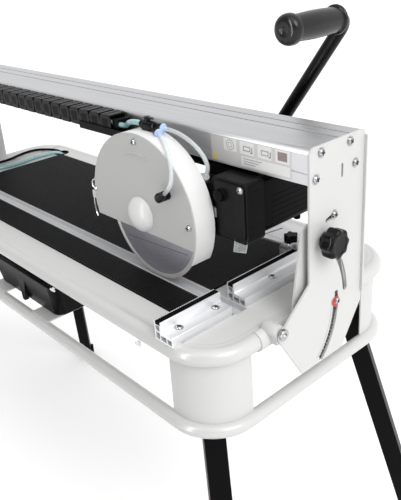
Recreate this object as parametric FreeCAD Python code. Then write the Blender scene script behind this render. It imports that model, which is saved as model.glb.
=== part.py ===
import FreeCAD, Part
import math
import os

# Bench-type masonry saw: a tube table frame on four splayed legs, an overhead aluminium rail
# that tilts about the cut line, and a motor head that travels along the rail.
# Millimetres. Origin on the floor at the centre of the four feet, +X along the rail towards the
# near end, -Y towards the operator, +Z up.

Vec = FreeCAD.Vector
X_AXIS = Vec(1, 0, 0)
Y_AXIS = Vec(0, 1, 0)
Z_AXIS = Vec(0, 0, 1)

# ---------------------------------------------------------------- driving dimensions
END = 540.0            # outer face of each end plate, from the middle
CUT = -91.0            # cut line and tilt axis
TOP = 760.0            # table surface above the floor
FRAME_X = 524.0        # outer half length of the tube frame
FRAME_Y = 207.0        # outer half width of the tube frame
CORNER = 75.0          # outer corner radius of the tube loops
UPPER_R = 12.5         # upper tube radius
LOWER_R = 10.0         # lower tube radius
TUBE_WALL = 1.5
UPPER_Z = TOP - 13.0   # upper tube centre line
LOWER_Z = TOP - 127.0  # lower tube centre line
BLADE_R = 100.0        # blade radius
BLADE_T = 2.2
BLADE_X = -252.0       # blade centre from the near end plate
BLADE_Y = 3.0          # blade plane from the cut line
BLADE_Z = 96.0         # blade centre above the table
RAIL_FRONT = 56.0      # rail section, from the cut line and the table top
RAIL_BACK = 168.0
RAIL_LOW = 181.5
RAIL_HIGH = 227.0
RAIL_WALL = 3.0
PLATE_T = 3.0          # end plate thickness
LEG_SIDE = 30.0
LEG_OUT_X = 0.242      # leg splay per unit of drop
LEG_OUT_Y = 0.166
FIT = 0.1              # radial clearance of shafts and screws


def at(dx, dy, dz):
    """A point given from the near end plate's outer face, the cut line and the table top."""
    return Vec(END + dx, CUT + dy, TOP + dz)


# ---------------------------------------------------------------- shape helpers
def box(x, y, z):
    """A block between two limits on each axis, in the saw's own measures (see at)."""
    size = (x[1] - x[0], y[1] - y[0], z[1] - z[0])
    return Part.makeBox(size[0], size[1], size[2], at(x[0], y[0], z[0]))


def rod(start, axis, radius, length):
    return Part.makeCylinder(radius, length, start, axis)


def ring(start, axis, outer, inner, length):
    return rod(start, axis, outer, length).cut(rod(start, axis, inner, length))


def hexagon(start, axis, across, length):
    """A hexagonal prism, across flats, standing on start."""
    side = Vec(0, 0, 1) if abs(axis.z) < 0.5 else Vec(1, 0, 0)
    other = axis.cross(side)
    corner = across / math.sqrt(3)
    points = []
    for i in range(7):
        turn = math.radians(60 * i)
        points.append(start + side * (corner * math.cos(turn)) + other * (corner * math.sin(turn)))
    return Part.Face(Part.makePolygon(points)).extrude(axis * length)


def rounded_loop(corners):
    """A closed wire through (u, v, radius) corners in the plane z = 0."""
    count = len(corners)
    edges = []
    ends = []
    for i in range(count):
        before = Vec(corners[i - 1][0], corners[i - 1][1], 0)
        here = Vec(corners[i][0], corners[i][1], 0)
        after = Vec(corners[(i + 1) % count][0], corners[(i + 1) % count][1], 0)
        radius = corners[i][2]
        into = (before - here).normalize()
        out = (after - here).normalize()
        half = into.getAngle(out) / 2
        if radius <= 0:
            ends.append((here, here))
            continue
        back = radius / math.tan(half)
        first = here + into * back
        last = here + out * back
        middle = (into + out).normalize()
        mid = here + middle * (radius / math.sin(half) - radius)
        edges.append((i, Part.Arc(first, mid, last).toShape()))
        ends.append((first, last))
    arcs = dict(edges)
    wire = []
    for i in range(count):
        if i in arcs:
            wire.append(arcs[i])
        start = ends[i][1]
        stop = ends[(i + 1) % count][0]
        if start.distanceToPoint(stop) > 1e-6:
            wire.append(Part.LineSegment(start, stop).toShape())
    return Part.Wire(Part.__sortEdges__(wire))


def slab_x(corners, x0, x1):
    """(y, z, radius) outline extruded along X, in the saw's own measures."""
    face = Part.Face(rounded_loop(corners))
    face.rotate(Vec(0, 0, 0), Vec(1, 1, 1), 120)
    face.translate(at(x0, 0, 0))
    return face.extrude(X_AXIS * (x1 - x0))


def slab_y(corners, y0, y1):
    """(x, z, radius) outline extruded along Y, in the saw's own measures."""
    face = Part.Face(rounded_loop(corners))
    face.rotate(Vec(0, 0, 0), X_AXIS, 90)
    face.translate(at(0, y0, 0))
    return face.extrude(Y_AXIS * (y1 - y0))


def slab_z(corners, z0, z1):
    """(x, y, radius) outline extruded along Z, in the saw's own measures."""
    face = Part.Face(rounded_loop(corners))
    face.translate(at(0, 0, z0))
    return face.extrude(Z_AXIS * (z1 - z0))


def arc_slot(radius, half_width, angle_high, angle_low, x0, x1):
    """A curved slot about the tilt axis, between two angles above the table plane."""
    points = []
    for angle, r in ((angle_high, radius + half_width), (angle_high, radius - half_width)):
        points.append(polar(r, angle))
    outer_mid = polar(radius + half_width, (angle_high + angle_low) / 2)
    inner_mid = polar(radius - half_width, (angle_high + angle_low) / 2)
    outer = Part.Arc(points[0], outer_mid, polar(radius + half_width, angle_low)).toShape()
    inner = Part.Arc(points[1], inner_mid, polar(radius - half_width, angle_low)).toShape()
    tilt = math.radians(angle_high)
    over = polar(radius, angle_high) + Vec(-math.sin(tilt), math.cos(tilt), 0) * half_width
    tilt = math.radians(angle_low)
    under = polar(radius, angle_low) + Vec(math.sin(tilt), -math.cos(tilt), 0) * half_width
    top = Part.Arc(points[0], over, points[1]).toShape()
    bottom = Part.Arc(polar(radius + half_width, angle_low), under,
                      polar(radius - half_width, angle_low)).toShape()
    face = Part.Face(Part.Wire(Part.__sortEdges__([outer, bottom, inner, top])))
    face.rotate(Vec(0, 0, 0), Vec(1, 1, 1), 120)
    face.translate(at(x0, 0, 0))
    return face.extrude(X_AXIS * (x1 - x0))


def polar(radius, angle):
    turn = math.radians(angle)
    return Vec(radius * math.cos(turn), radius * math.sin(turn), 0)


def route(points, radius, bend=0.45):
    """A line of straight runs joined by tangent arcs; returns solid, length and arc radii."""
    edges = []
    radii = []
    start = points[0]
    for i in range(1, len(points) - 1):
        here = points[i]
        into = (points[i - 1] - here)
        out = (points[i + 1] - here)
        shorter = min(into.Length, out.Length)
        into = into.normalize()
        out = out.normalize()
        turn = math.pi - into.getAngle(out)
        back = bend * shorter
        first = here + into * back
        last = here + out * back
        arc_radius = back / math.tan(turn / 2)
        radii.append(arc_radius)
        middle = (into + out).normalize()
        mid = here + middle * (arc_radius / math.cos(turn / 2) - arc_radius)
        edges.append(Part.LineSegment(start, first).toShape())
        edges.append(Part.Arc(first, mid, last).toShape())
        start = last
    edges.append(Part.LineSegment(start, points[-1]).toShape())
    path = Part.Wire(edges)
    circle = Part.Wire([Part.makeCircle(radius, points[0], (points[1] - points[0]).normalize())])
    return path.makePipeShell([circle], True, True), path.Length, radii


def mirror_x(shape):
    return shape.mirror(Vec(0, 0, 0), X_AXIS)


def mirror_y(shape):
    return shape.mirror(Vec(0, 0, 0), Y_AXIS)


def both_ends(shape):
    return [shape, mirror_x(shape)]


def four_corners(shape):
    pair = [shape, mirror_y(shape)]
    return pair + [mirror_x(s) for s in pair]


def save(name, shapes):
    """Write one node: a single solid, or a group of separate solids."""
    solids = []
    for shape in shapes if isinstance(shapes, list) else [shapes]:
        solids.extend(shape.Solids)
    result = solids[0] if len(solids) == 1 else Part.makeCompound(solids)
    for solid in solids:
        if not solid.isValid() or solid.Volume <= 0:
            print("CHECK", name, "valid", solid.isValid(), "volume", round(solid.Volume, 2))
    result.exportStep("parts/" + name + ".step")
    print(name, len(solids), round(sum(s.Volume for s in solids) / 1000.0, 2), "cm3")


# ---------------------------------------------------------------- tube frame and legs
def frame_loop(radius, level, name):
    """One bent tube loop: two sides, two ends and four corner bends, hollow throughout."""
    line_x = FRAME_X - radius
    line_y = FRAME_Y - radius
    run_x = FRAME_X - CORNER
    run_y = FRAME_Y - CORNER
    inner = radius - TUBE_WALL
    side = ring(Vec(-run_x, line_y, level), X_AXIS, radius, inner, 2 * run_x)
    end = ring(Vec(line_x, -run_y, level), Y_AXIS, radius, inner, 2 * run_y)
    outer_edge = Part.Wire([Part.makeCircle(radius, Vec(line_x, run_y, level), Y_AXIS)])
    inner_edge = Part.Wire([Part.makeCircle(inner, Vec(line_x, run_y, level), Y_AXIS)])
    section = Part.Face(outer_edge).cut(Part.Face(inner_edge))
    bend = section.revolve(Vec(run_x, run_y, level), Z_AXIS, 90)
    save(name, [side, mirror_y(side)] + both_ends(end) + four_corners(bend))


def solid_loop(radius, level):
    """One corner of a loop without its bore, used to trim what is welded to it."""
    line_x = FRAME_X - radius
    line_y = FRAME_Y - radius
    run_x = FRAME_X - CORNER
    run_y = FRAME_Y - CORNER
    side = rod(Vec(0, line_y, level), X_AXIS, radius, run_x)
    end = rod(Vec(line_x, 0, level), Y_AXIS, radius, run_y)
    face = Part.Face(Part.Wire([Part.makeCircle(radius, Vec(line_x, run_y, level), Y_AXIS)]))
    bend = face.revolve(Vec(run_x, run_y, level), Z_AXIS, 90)
    return [side, end, bend]


def corner_panels():
    """Curved sheet panels that join the two loops at the corners."""
    mid = CORNER - UPPER_R
    thick = 2.0
    flat = 12.0
    centre = (FRAME_X - CORNER, FRAME_Y - CORNER)
    low = LOWER_Z + LOWER_R * 0.6
    high = UPPER_Z - UPPER_R * 0.6
    tall = high - low
    base = Vec(centre[0], centre[1], low)
    curve = ring(base, Z_AXIS, mid + thick / 2, mid - thick / 2, tall)
    quarter = Part.makeBox(mid + thick, mid + thick, tall, base)
    panel = curve.common(quarter)
    panel = panel.fuse(Part.makeBox(flat, thick, tall, base + Vec(-flat, mid - thick / 2, 0)))
    panel = panel.fuse(Part.makeBox(thick, flat, tall, base + Vec(mid - thick / 2, -flat, 0)))
    for tube in solid_loop(UPPER_R, UPPER_Z) + solid_loop(LOWER_R, LOWER_Z):
        panel = panel.cut(tube)
    save("corner_panels", four_corners(panel.removeSplitter()))


def leg_stick(start, length, side, bore=0.0):
    """A square tube running down the splayed leg line from start."""
    down = Vec(LEG_OUT_X, LEG_OUT_Y, -1).normalize()
    across = down.cross(Z_AXIS).normalize()
    third = down.cross(across)
    turn = FreeCAD.Rotation(across, third, down, "ZXY")
    shape = Part.makeBox(side, side, length, Vec(-side / 2, -side / 2, 0))
    if bore > 0:
        shape = shape.cut(Part.makeBox(bore, bore, length + 2, Vec(-bore / 2, -bore / 2, -1)))
    shape.Placement = FreeCAD.Placement(start, turn)
    return shape


def legs():
    """Square legs in welded sockets, each held by a clamp screw, on rubber feet."""
    hub = Vec(470.0, 158.5, LOWER_Z)
    down = Vec(LEG_OUT_X, LEG_OUT_Y, -1)
    leg_top = hub - down * 85
    foot_height = 24.0
    below = Part.makeBox(2000, 2000, 200, Vec(-100, -100, -196))
    leg = leg_stick(leg_top, 760, LEG_SIDE, LEG_SIDE - 4).cut(below)
    socket = leg_stick(hub - down * 95, 105, LEG_SIDE + 4.4, LEG_SIDE + 0.4)
    for tube in solid_loop(UPPER_R, UPPER_Z) + solid_loop(LOWER_R, LOWER_Z):
        socket = socket.cut(tube)
    across = down.cross(Z_AXIS).normalize()
    inward = down.cross(across).normalize()
    if inward.x > 0:
        inward = inward * -1
    grip = hub - down * 45
    socket = socket.cut(rod(grip + inward * (LEG_SIDE / 2 - 1), inward, 4.1, 8))
    screw_start = grip + inward * (LEG_SIDE / 2 + 0.1)
    screw = rod(screw_start, inward, 4.0, 7)
    screw = screw.fuse(hexagon(screw_start + inward * 4.6, inward, 13, 6))
    sole = hub + down * (LOWER_Z - foot_height / 2)
    foot = Part.makeBox(44, 44, foot_height, Vec(-22, -22, 0))
    upright = [e for e in foot.Edges if e.BoundBox.ZLength > foot_height - 1]
    foot = foot.makeFillet(5.0, upright)
    foot.rotate(Vec(0, 0, 0), Z_AXIS, math.degrees(math.atan2(LEG_OUT_Y, LEG_OUT_X)))
    foot.translate(Vec(sole.x, sole.y, 0))
    foot = foot.cut(leg_stick(leg_top, 760, LEG_SIDE).cut(below))
    save("support_legs", four_corners(leg))
    save("leg_sockets", four_corners(socket))
    save("rubber_feet", four_corners(foot))
    return four_corners(screw)


# ---------------------------------------------------------------- table
FAR = -2 * END         # the far end plate's outer face, in the saw's own measures
MAT_END = 150.0        # distance of the mats from the end plates
DECK_END = 79.0        # inner edge of the raised end decks
SHEET_TOP = -3.0
GROOVE = (-6.0, 18.0)  # kerf channel limits across the table
HOSE_HOLE = (-946.0, 255.0)


def table_parts():
    """Pressed table sheet with raised ends, the kerf channel and the ribbed mats."""
    reach = math.sqrt(UPPER_R ** 2 - (TOP + SHEET_TOP - 2 - UPPER_Z) ** 2)
    half_x = FRAME_X - UPPER_R - reach - 0.1
    half_y = FRAME_Y - UPPER_R - reach - 0.1
    bend = CORNER - UPPER_R - reach - 0.1
    outline = [(-END - half_x, -CUT - half_y, bend), (-END + half_x, -CUT - half_y, bend),
               (-END + half_x, -CUT + half_y, bend), (-END - half_x, -CUT + half_y, bend)]
    sheet = slab_z(outline, SHEET_TOP - 2, SHEET_TOP)
    deck = slab_z(outline, SHEET_TOP, -0.5)
    sheet = sheet.fuse(deck.common(box((-DECK_END, 0), (-200, 400), (SHEET_TOP, 0))))
    sheet = sheet.fuse(deck.common(box((FAR, FAR + DECK_END), (-200, 400), (SHEET_TOP, 0))))
    sheet = sheet.cut(box((FAR + DECK_END - 2, 2 - DECK_END), (GROOVE[0] - 0.3, GROOVE[1] + 0.3),
                          (SHEET_TOP - 3, 1)))
    drain = [(-88, -84, 2.4), (-83, -84, 2.4), (-83, -60, 2.4), (-88, -60, 2.4)]
    sheet = sheet.cut(slab_z(drain, SHEET_TOP - 3, SHEET_TOP + 1))
    sheet = sheet.cut(rod(at(HOSE_HOLE[0], HOSE_HOLE[1], SHEET_TOP - 3), Z_AXIS, 15, 8))
    save("table_sheet", sheet.removeSplitter())

    low = -11.0
    wall = 2.0
    channel = box((FAR + DECK_END - 1.8, 1.8 - DECK_END), GROOVE, (low, 0))
    trough = box((FAR, 0), (GROOVE[0] + wall, GROOVE[1] - wall), (low + wall, 1))
    save("kerf_channel", channel.cut(trough))
    save("front_mat", mat(-58.0, GROOVE[0] - 0.3))
    save("rear_mat", mat(GROOVE[1] + 0.3, 245.0))


def mat(y0, y1):
    """A rubber mat with ribs along the table."""
    pitch = 6.0
    shape = box((FAR + MAT_END, -MAT_END), (y0, y1), (SHEET_TOP, 0))
    grooves = []
    y = y0 + 4.0
    while y < y1 - 4.0:
        grooves.append(box((FAR, 0), (y, y + 2.0), (-1.0, 1.0)))
        y += pitch
    return shape.cut(Part.makeCompound(grooves))


FENCE_BACK = -117.0    # fence section limits from the near end plate
FENCE_STEP = -104.0
FENCE_FOOT = -82.5
FENCE_HIGH = 25.0
FENCE_LOW = 11.0
FENCES = (("front_fence", -112.0, -7.0, (-88.0, -23.0)), ("rear_fence", 19.0, 236.0, (91.0, 200.0)))


def fence(y0, y1):
    """Extruded fence: a tall hollow bar with a top groove, and a low two-cell foot."""
    base = SHEET_TOP
    outer = [(FENCE_BACK, base, 0), (FENCE_FOOT, base, 0), (FENCE_FOOT, FENCE_LOW, 0.8),
             (FENCE_STEP, FENCE_LOW, 4), (FENCE_STEP, FENCE_HIGH, 0.8), (FENCE_BACK, FENCE_HIGH, 0.8)]
    body = slab_y(outer, y0, y1)
    cells = [(FENCE_BACK + 1.8, FENCE_STEP - 3.2, base + 2, 9.0),
             (FENCE_STEP - 1.4, -94.6, base + 2, 6.5), (-92.8, FENCE_FOOT - 1.8, base + 2, 6.5),
             (FENCE_BACK + 1.8, FENCE_STEP - 3.0, 11, 19), (FENCE_BACK + 1.8, FENCE_STEP - 1.6, 20, 30)]
    for x0, x1, z0, z1 in cells:
        body = body.cut(box((x0, x1), (y0 - 1, y1 + 1), (z0, z1)))
    return body


def fences():
    """Two fences, one each side of the kerf, with rubber tops; returns their screws."""
    pads = []
    screws = []
    for name, y0, y1, bolts in FENCES:
        body = fence(y0, y1)
        for y in bolts:
            spot = at(-97.0, y, 0)
            body = body.cut(rod(spot + Z_AXIS * (SHEET_TOP - 1), Z_AXIS, 2.6, 30))
            body = body.cut(rod(spot + Z_AXIS * (FENCE_LOW - 1.2), Z_AXIS, 6.2, 20))
            head = rod(spot + Z_AXIS * (FENCE_LOW - 1.1), Z_AXIS, 5.5, 3.6)
            head = head.cut(hexagon(spot + Z_AXIS * (FENCE_LOW + 0.5), Z_AXIS, 4, 3))
            shank = rod(spot + Z_AXIS * SHEET_TOP, Z_AXIS, 2.5, FENCE_LOW - 1.1 - SHEET_TOP)
            screws.append(head.fuse(shank))
        for tube in solid_loop(UPPER_R + 0.1, UPPER_Z):
            body = body.cut(mirror_y(tube))
        save(name, body)
        pads.append(box((FENCE_BACK + 1.9, FENCE_STEP - 1.7), (y0, y1), (20, 24.6)))
    save("fence_rubbers", pads)
    return screws


def tube_studs():
    """Round-headed studs under the upper front and rear tubes."""
    studs = []
    for x in (164.0, 386.0):
        start = Vec(x, -FRAME_Y + UPPER_R - 8, UPPER_Z - 9.8)
        heading = Vec(0, -0.75, -0.66).normalize()
        stud = rod(start, heading, 2.5, 5).fuse(rod(start + heading * 4, heading, 5.0, 3.5))
        tube = rod(Vec(-600, -FRAME_Y + UPPER_R, UPPER_Z), X_AXIS, UPPER_R, 1200)
        studs += four_corners(stud.cut(tube))
    return studs


def mitre_guide():
    """Angle plate on a block that slides along the rear fence, held by a small knob."""
    slide = box((-135, -117.4), (150, 184), (0.4, 28.5))
    hook = box((-135, -101), (156, 178), (25.4, 28.5))
    plate = [(-192, 146, 3), (-119.3, 156, 3), (-119.3, 188, 3), (-184, 206, 3)]
    body = slide.fuse(hook).fuse(slab_z(plate, 28.5, 31.5))
    body = body.cut(rod(at(-126, 167, 10), Z_AXIS, 3.1, 40))
    slit = [(-176, 158, 1.4), (-173, 157, 1.4), (-166, 194, 1.4), (-169, 195, 1.4)]
    body = body.cut(slab_z(slit, 20, 40))
    save("mitre_guide", body.removeSplitter())
    knob = lobed(at(-126, 167, 31.9), Z_AXIS, 8.0, 5, 11)
    save("mitre_knob", knob.fuse(rod(at(-126, 167, 12), Z_AXIS, 3.0, 22)).removeSplitter())


def lobed(start, axis, radius, count, length):
    """A hand knob with rounded lobes."""
    side = Vec(0, 0, 1) if abs(axis.z) < 0.5 else Vec(1, 0, 0)
    other = axis.cross(side)
    shape = rod(start, axis, radius, length)
    for i in range(count):
        turn = 2 * math.pi * i / count
        place = side * (radius * math.cos(turn)) + other * (radius * math.sin(turn))
        shape = shape.fuse(rod(start + place, axis, radius * 0.36, length))
    return shape.removeSplitter()


# ---------------------------------------------------------------- tilt ends
STUD_R = 131.0         # lock stud, from the tilt axis
STUD_ANGLE = 51.5
POINTER_R = 112.0
BRACKET_X = (-14.0, -11.0)
RAIL_SCREWS = ((66.0, 188.5), (76.0, 220.0), (134.0, 220.0), (146.0, 188.5))


def end_plates():
    """Tilting end plates with their curved slots, and the screws that hold the rail."""
    outline = [(54, 229, 10), (54, 47, 6), (-9, -4.5, 8), (39, -82, 3), (126, -82, 3),
               (168, -22, 4), (168, 229, 8)]
    plate = slab_x(outline, -PLATE_T, 0)
    plate = plate.fuse(box((-PLATE_T, 4), (165, 168), (-6, 221)))
    plate = plate.cut(rod(at(-10, 0, 0), X_AXIS, 5.1, 20))
    plate = plate.cut(arc_slot(POINTER_R, 3.6, 6.5, -46, -5, 2))
    plate = plate.cut(arc_slot(STUD_R, 4.6, 53.0, 5.5, -5, 2))
    for y, z in RAIL_SCREWS:
        plate = plate.cut(rod(at(-10, y, z), X_AXIS, 3.1, 20))
    slots = ([(86, 122.5, 2.9), (107, 128, 2.9), (107, 134, 2.9), (86, 128.5, 2.9)],
             [(117, 176, 1.9), (121, 176, 1.9), (121, 195, 1.9), (117, 195, 1.9)])
    for corners in slots:
        plate = plate.cut(slab_x(corners, -5, 2))
    plate = plate.removeSplitter()
    save("near_end_plate", plate)
    save("far_end_plate", mirror_x(plate))

    screws = []
    for y, z in RAIL_SCREWS:
        head = rod(at(0, y, z), X_AXIS, 5.5, 3.2).cut(hexagon(at(1.2, y, z), X_AXIS, 4, 3))
        screws += both_ends(head.fuse(rod(at(-20, y, z), X_AXIS, 3.0, 20)))
    stop = rod(at(0, 103.5, 130.1), X_AXIS, 5.0, 3.0).cut(hexagon(at(1.2, 103.5, 130.1), X_AXIS, 3.5, 3))
    screws += both_ends(stop.fuse(rod(at(-5, 103.5, 130.1), X_AXIS, 2.6, 5)))
    save("end_plate_screws", screws)


def pivots():
    """Pivot blocks on the end tubes, pivot bolts, fixed brackets, pointers and tilt knobs."""
    block = rod(Vec(FRAME_X - UPPER_R, CUT - 22, UPPER_Z), Y_AXIS, 14.5, 34.0)
    block = block.fuse(rod(at(-30, 0, 0), X_AXIS, 9.5, 26.6)).fuse(box((-28.5, -3.4), (-7, 7), (-16, 0)))
    tube = rod(Vec(FRAME_X - UPPER_R, -400, UPPER_Z), Y_AXIS, UPPER_R + 0.05, 800)
    block = block.cut(tube).cut(box((-60, -28.5), (-60, 60), (-60, 20)))
    block = block.cut(rod(at(-14, 0, 0), X_AXIS, 5.05, 20))
    save("pivot_blocks", both_ends(max(block.Solids, key=lambda s: s.Volume)))

    head = rod(at(0.4, 0, 0), X_AXIS, 7.5, 4.6)
    head = head.makeFillet(1.5, [e for e in head.Edges if e.BoundBox.XMin > END + 4.9])
    bolt = rod(at(-13.5, 0, 0), X_AXIS, 5.0, 14.0).fuse(head)
    save("pivot_bolts", both_ends(bolt.cut(hexagon(at(2.4, 0, 0), X_AXIS, 6, 4))))

    stud = polar(STUD_R, STUD_ANGLE)
    corners = [(30, -22, 2), (36, 30, 6), (52, 116, 10), (66, 126, 10), (98, 126, 10),
               (124, 100, 10), (150, -22, 2)]
    bracket = slab_x(corners, BRACKET_X[0], BRACKET_X[1])
    weld = box((-19, BRACKET_X[0]), (38, 142), (-19, -7)).cut(tube)
    bracket = bracket.fuse(max(weld.Solids, key=lambda s: s.Volume))
    bracket = bracket.fuse(rod(at(BRACKET_X[1], stud.x, stud.y), X_AXIS, 9.0, 7.6))
    bracket = bracket.cut(rod(at(-20, stud.x, stud.y), X_AXIS, 4.0 + FIT, 20))
    bracket = bracket.cut(rod(at(-20, POINTER_R, 0), X_AXIS, 3.05, 20))
    save("fixed_brackets", both_ends(bracket.removeSplitter()))

    pointer = rod(at(-18, POINTER_R, 0), X_AXIS, 3.0, 18.5)
    cap = rod(at(0.5, POINTER_R, 0), X_AXIS, 5.0, 3.4).cut(hexagon(at(2.2, POINTER_R, 0), X_AXIS, 4, 3))
    pointer = pointer.fuse(cap)
    hand = slab_x([(POINTER_R - 12, -3, 1), (POINTER_R + 5, -6.5, 5), (POINTER_R + 5, 6.5, 5),
                   (POINTER_R - 4, 6.5, 4)], 0.3, 0.5)
    hand = hand.cut(rod(at(-1, POINTER_R, 0), X_AXIS, 3.0, 3))
    save("angle_pointers", both_ends(pointer.fuse(hand)))

    knob = lobed(at(8.0, stud.x, stud.y), X_AXIS, 15.5, 8, 19)
    knob = knob.fuse(rod(at(2.4, stud.x, stud.y), X_AXIS, 10.0, 6.0))
    knob = knob.fuse(rod(at(0.4, stud.x, stud.y), X_AXIS, 11.0, 2.0))
    knob = knob.fuse(rod(at(-19.5, stud.x, stud.y), X_AXIS, 4.0, 21)).removeSplitter()
    save("near_tilt_knob", knob)
    save("far_tilt_knob", mirror_x(knob))


# ---------------------------------------------------------------- rail
SLOT = (101.0, 121.0)  # trolley slot in the rail's lower wall


def rail():
    """Hollow aluminium rail: a box section with a trolley slot and four screw bosses."""
    outer = [(RAIL_FRONT, RAIL_LOW, 1.0), (RAIL_BACK, RAIL_LOW, 1.0), (RAIL_BACK, RAIL_HIGH, 3.0),
             (RAIL_FRONT, RAIL_HIGH, 6.0)]
    x0 = FAR + PLATE_T
    x1 = -PLATE_T
    wall = RAIL_WALL
    inner = [(RAIL_FRONT + wall, RAIL_LOW + wall, 1.0), (RAIL_BACK - wall, RAIL_LOW + wall, 1.0),
             (RAIL_BACK - wall, RAIL_HIGH - wall, 1.5), (RAIL_FRONT + wall, RAIL_HIGH - wall, 4.0)]
    body = slab_x(outer, x0, x1).cut(slab_x(inner, x0 - 1, x1 + 1))
    for y, z in RAIL_SCREWS:
        body = body.fuse(rod(at(x0, y, z), X_AXIS, 5.0, x1 - x0))
    body = body.common(slab_x(outer, x0, x1))
    for y, z in RAIL_SCREWS:
        body = body.cut(rod(at(x0 - 1, y, z), X_AXIS, 3.05, x1 - x0 + 2))
    body = body.cut(box((x0 - 1, x1 + 1), SLOT, (RAIL_LOW - 1, RAIL_LOW + wall + 0.5)))
    for y in (118.0, 141.0):
        body = body.cut(box((x0 - 1, x1 + 1), (y, y + 2.4), (RAIL_HIGH - 1.2, RAIL_HIGH + 1)))
    body = body.cut(box((x0 - 1, x1 + 1), (RAIL_FRONT - 1, RAIL_FRONT + 0.8), (196.0, 197.4)))
    save("rail_beam", body.removeSplitter())


CHAIN_Y = (22.0, 53.5)
CHAIN_Z = (198.0, 226.0)
CHAIN_END = -362.0
CHAIN_LINKS = 23
CHAIN_FAR = -1050.0


def cable_chain():
    """Plastic cable chain along the rail's front, and the anchor that holds its far end."""
    pitch = (CHAIN_END - CHAIN_FAR) / CHAIN_LINKS
    links = []
    for i in range(CHAIN_LINKS):
        x1 = CHAIN_END - i * pitch
        x0 = x1 - pitch + 1.0
        link = box((x0, x1), CHAIN_Y, CHAIN_Z)
        links.append(link.cut(box((x0 + 6, x1 - 6), (CHAIN_Y[0] - 1, CHAIN_Y[0] + 1.5),
                                  (CHAIN_Z[0] + 7, CHAIN_Z[1] - 7))))
    save("cable_chain", links)
    save("chain_anchor", box((CHAIN_FAR - 15, CHAIN_FAR), (CHAIN_Y[0], RAIL_FRONT), (186.0, CHAIN_Z[1])))


# ---------------------------------------------------------------- carriage and head
TROLLEY_R = 14.0
TROLLEY_X = (-300.0, -140.0)
TROLLEY_Z = RAIL_LOW + RAIL_WALL + TROLLEY_R + 0.3
MOTOR_BOLTS = ((-172.0, 78.0), (-104.0, 78.0), (-172.0, 158.0), (-104.0, 158.0))
MOTOR_X = -139.0
MOTOR_Z = 128.0
MOTOR_R = 31.0         # inside radius of the motor housing
MOTOR_PULLEY_R = 22.0
BLADE_PULLEY_R = 24.0


def carriage():
    """Carriage plate with its handle bracket, rail hangers, rollers and the chain shoe."""
    plate = slab_z([(-335, 58, 6), (-92, 58, 6), (-92, 214, 6), (-335, 214, 6)], 170, 176)
    plate = plate.fuse(box((-320, -150), (205, 214), (176, 198)))
    plate = plate.fuse(box((-268, -196), (205, 231), (140, 170)))
    for x, y in MOTOR_BOLTS:
        plate = plate.cut(rod(at(x, y, 160), Z_AXIS, 4.1, 30))
    plate = plate.cut(handle_bar(0.0))
    save("carriage_plate", max(plate.removeSplitter().Solids, key=lambda s: s.Volume))
    hangers = []
    for x in TROLLEY_X:
        hanger = box((x - 22, x + 22), (106, 116), (176, 209))
        hangers.append(hanger.cut(rod(at(x, 90, TROLLEY_Z), Y_AXIS, 4.0 + FIT, 60)))
    save("trolley_hangers", hangers)
    for name, x in zip(("far_trolley_rollers", "near_trolley_rollers"), TROLLEY_X):
        axle = rod(at(x, 86, TROLLEY_Z), Y_AXIS, 4.0, 50)
        for y in (86, 124):
            axle = axle.fuse(rod(at(x, y, TROLLEY_Z), Y_AXIS, TROLLEY_R, 12))
        save(name, axle)
    shoe = box((-374, -322), (49.5, 53.0), (170, 197.4))
    shoe = shoe.fuse(box((-374, -335.1), (49.5, 66), (170, 176)))
    shoe = shoe.fuse(box((-450, -322), (20.0, 53.0), (194.4, 197.4)))
    shoe = shoe.fuse(box((-450, -322), (20.0, 21.5), (194.4, 206)))
    shoe = shoe.fuse(box((-361.6, -348), (26, 49.5), (197.4, 220)))
    shoe = shoe.fuse(rod(at(-392, 36, 189), Z_AXIS, 4.5, 6))
    save("chain_shoe", shoe.removeSplitter())


def head_screws():
    """Motor bolts through the carriage plate, and the guard cover screws."""
    screws = []
    for x, y in MOTOR_BOLTS:
        screws.append(hexagon(at(x, y, 176), Z_AXIS, 10, 4).fuse(rod(at(x, y, 160), Z_AXIS, 4.0, 16)))
    for x, z in ((-252.0, 213.0), (-147.0, 111.0)):
        head = rod(at(x, GUARD_FRONT - 3.2, z), Y_AXIS, 5.0, 3.2)
        screws.append(head.cut(hexagon(at(x, GUARD_FRONT - 3.4, z), Y_AXIS, 4, 1.8)))
    save("head_screws", screws)


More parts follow.
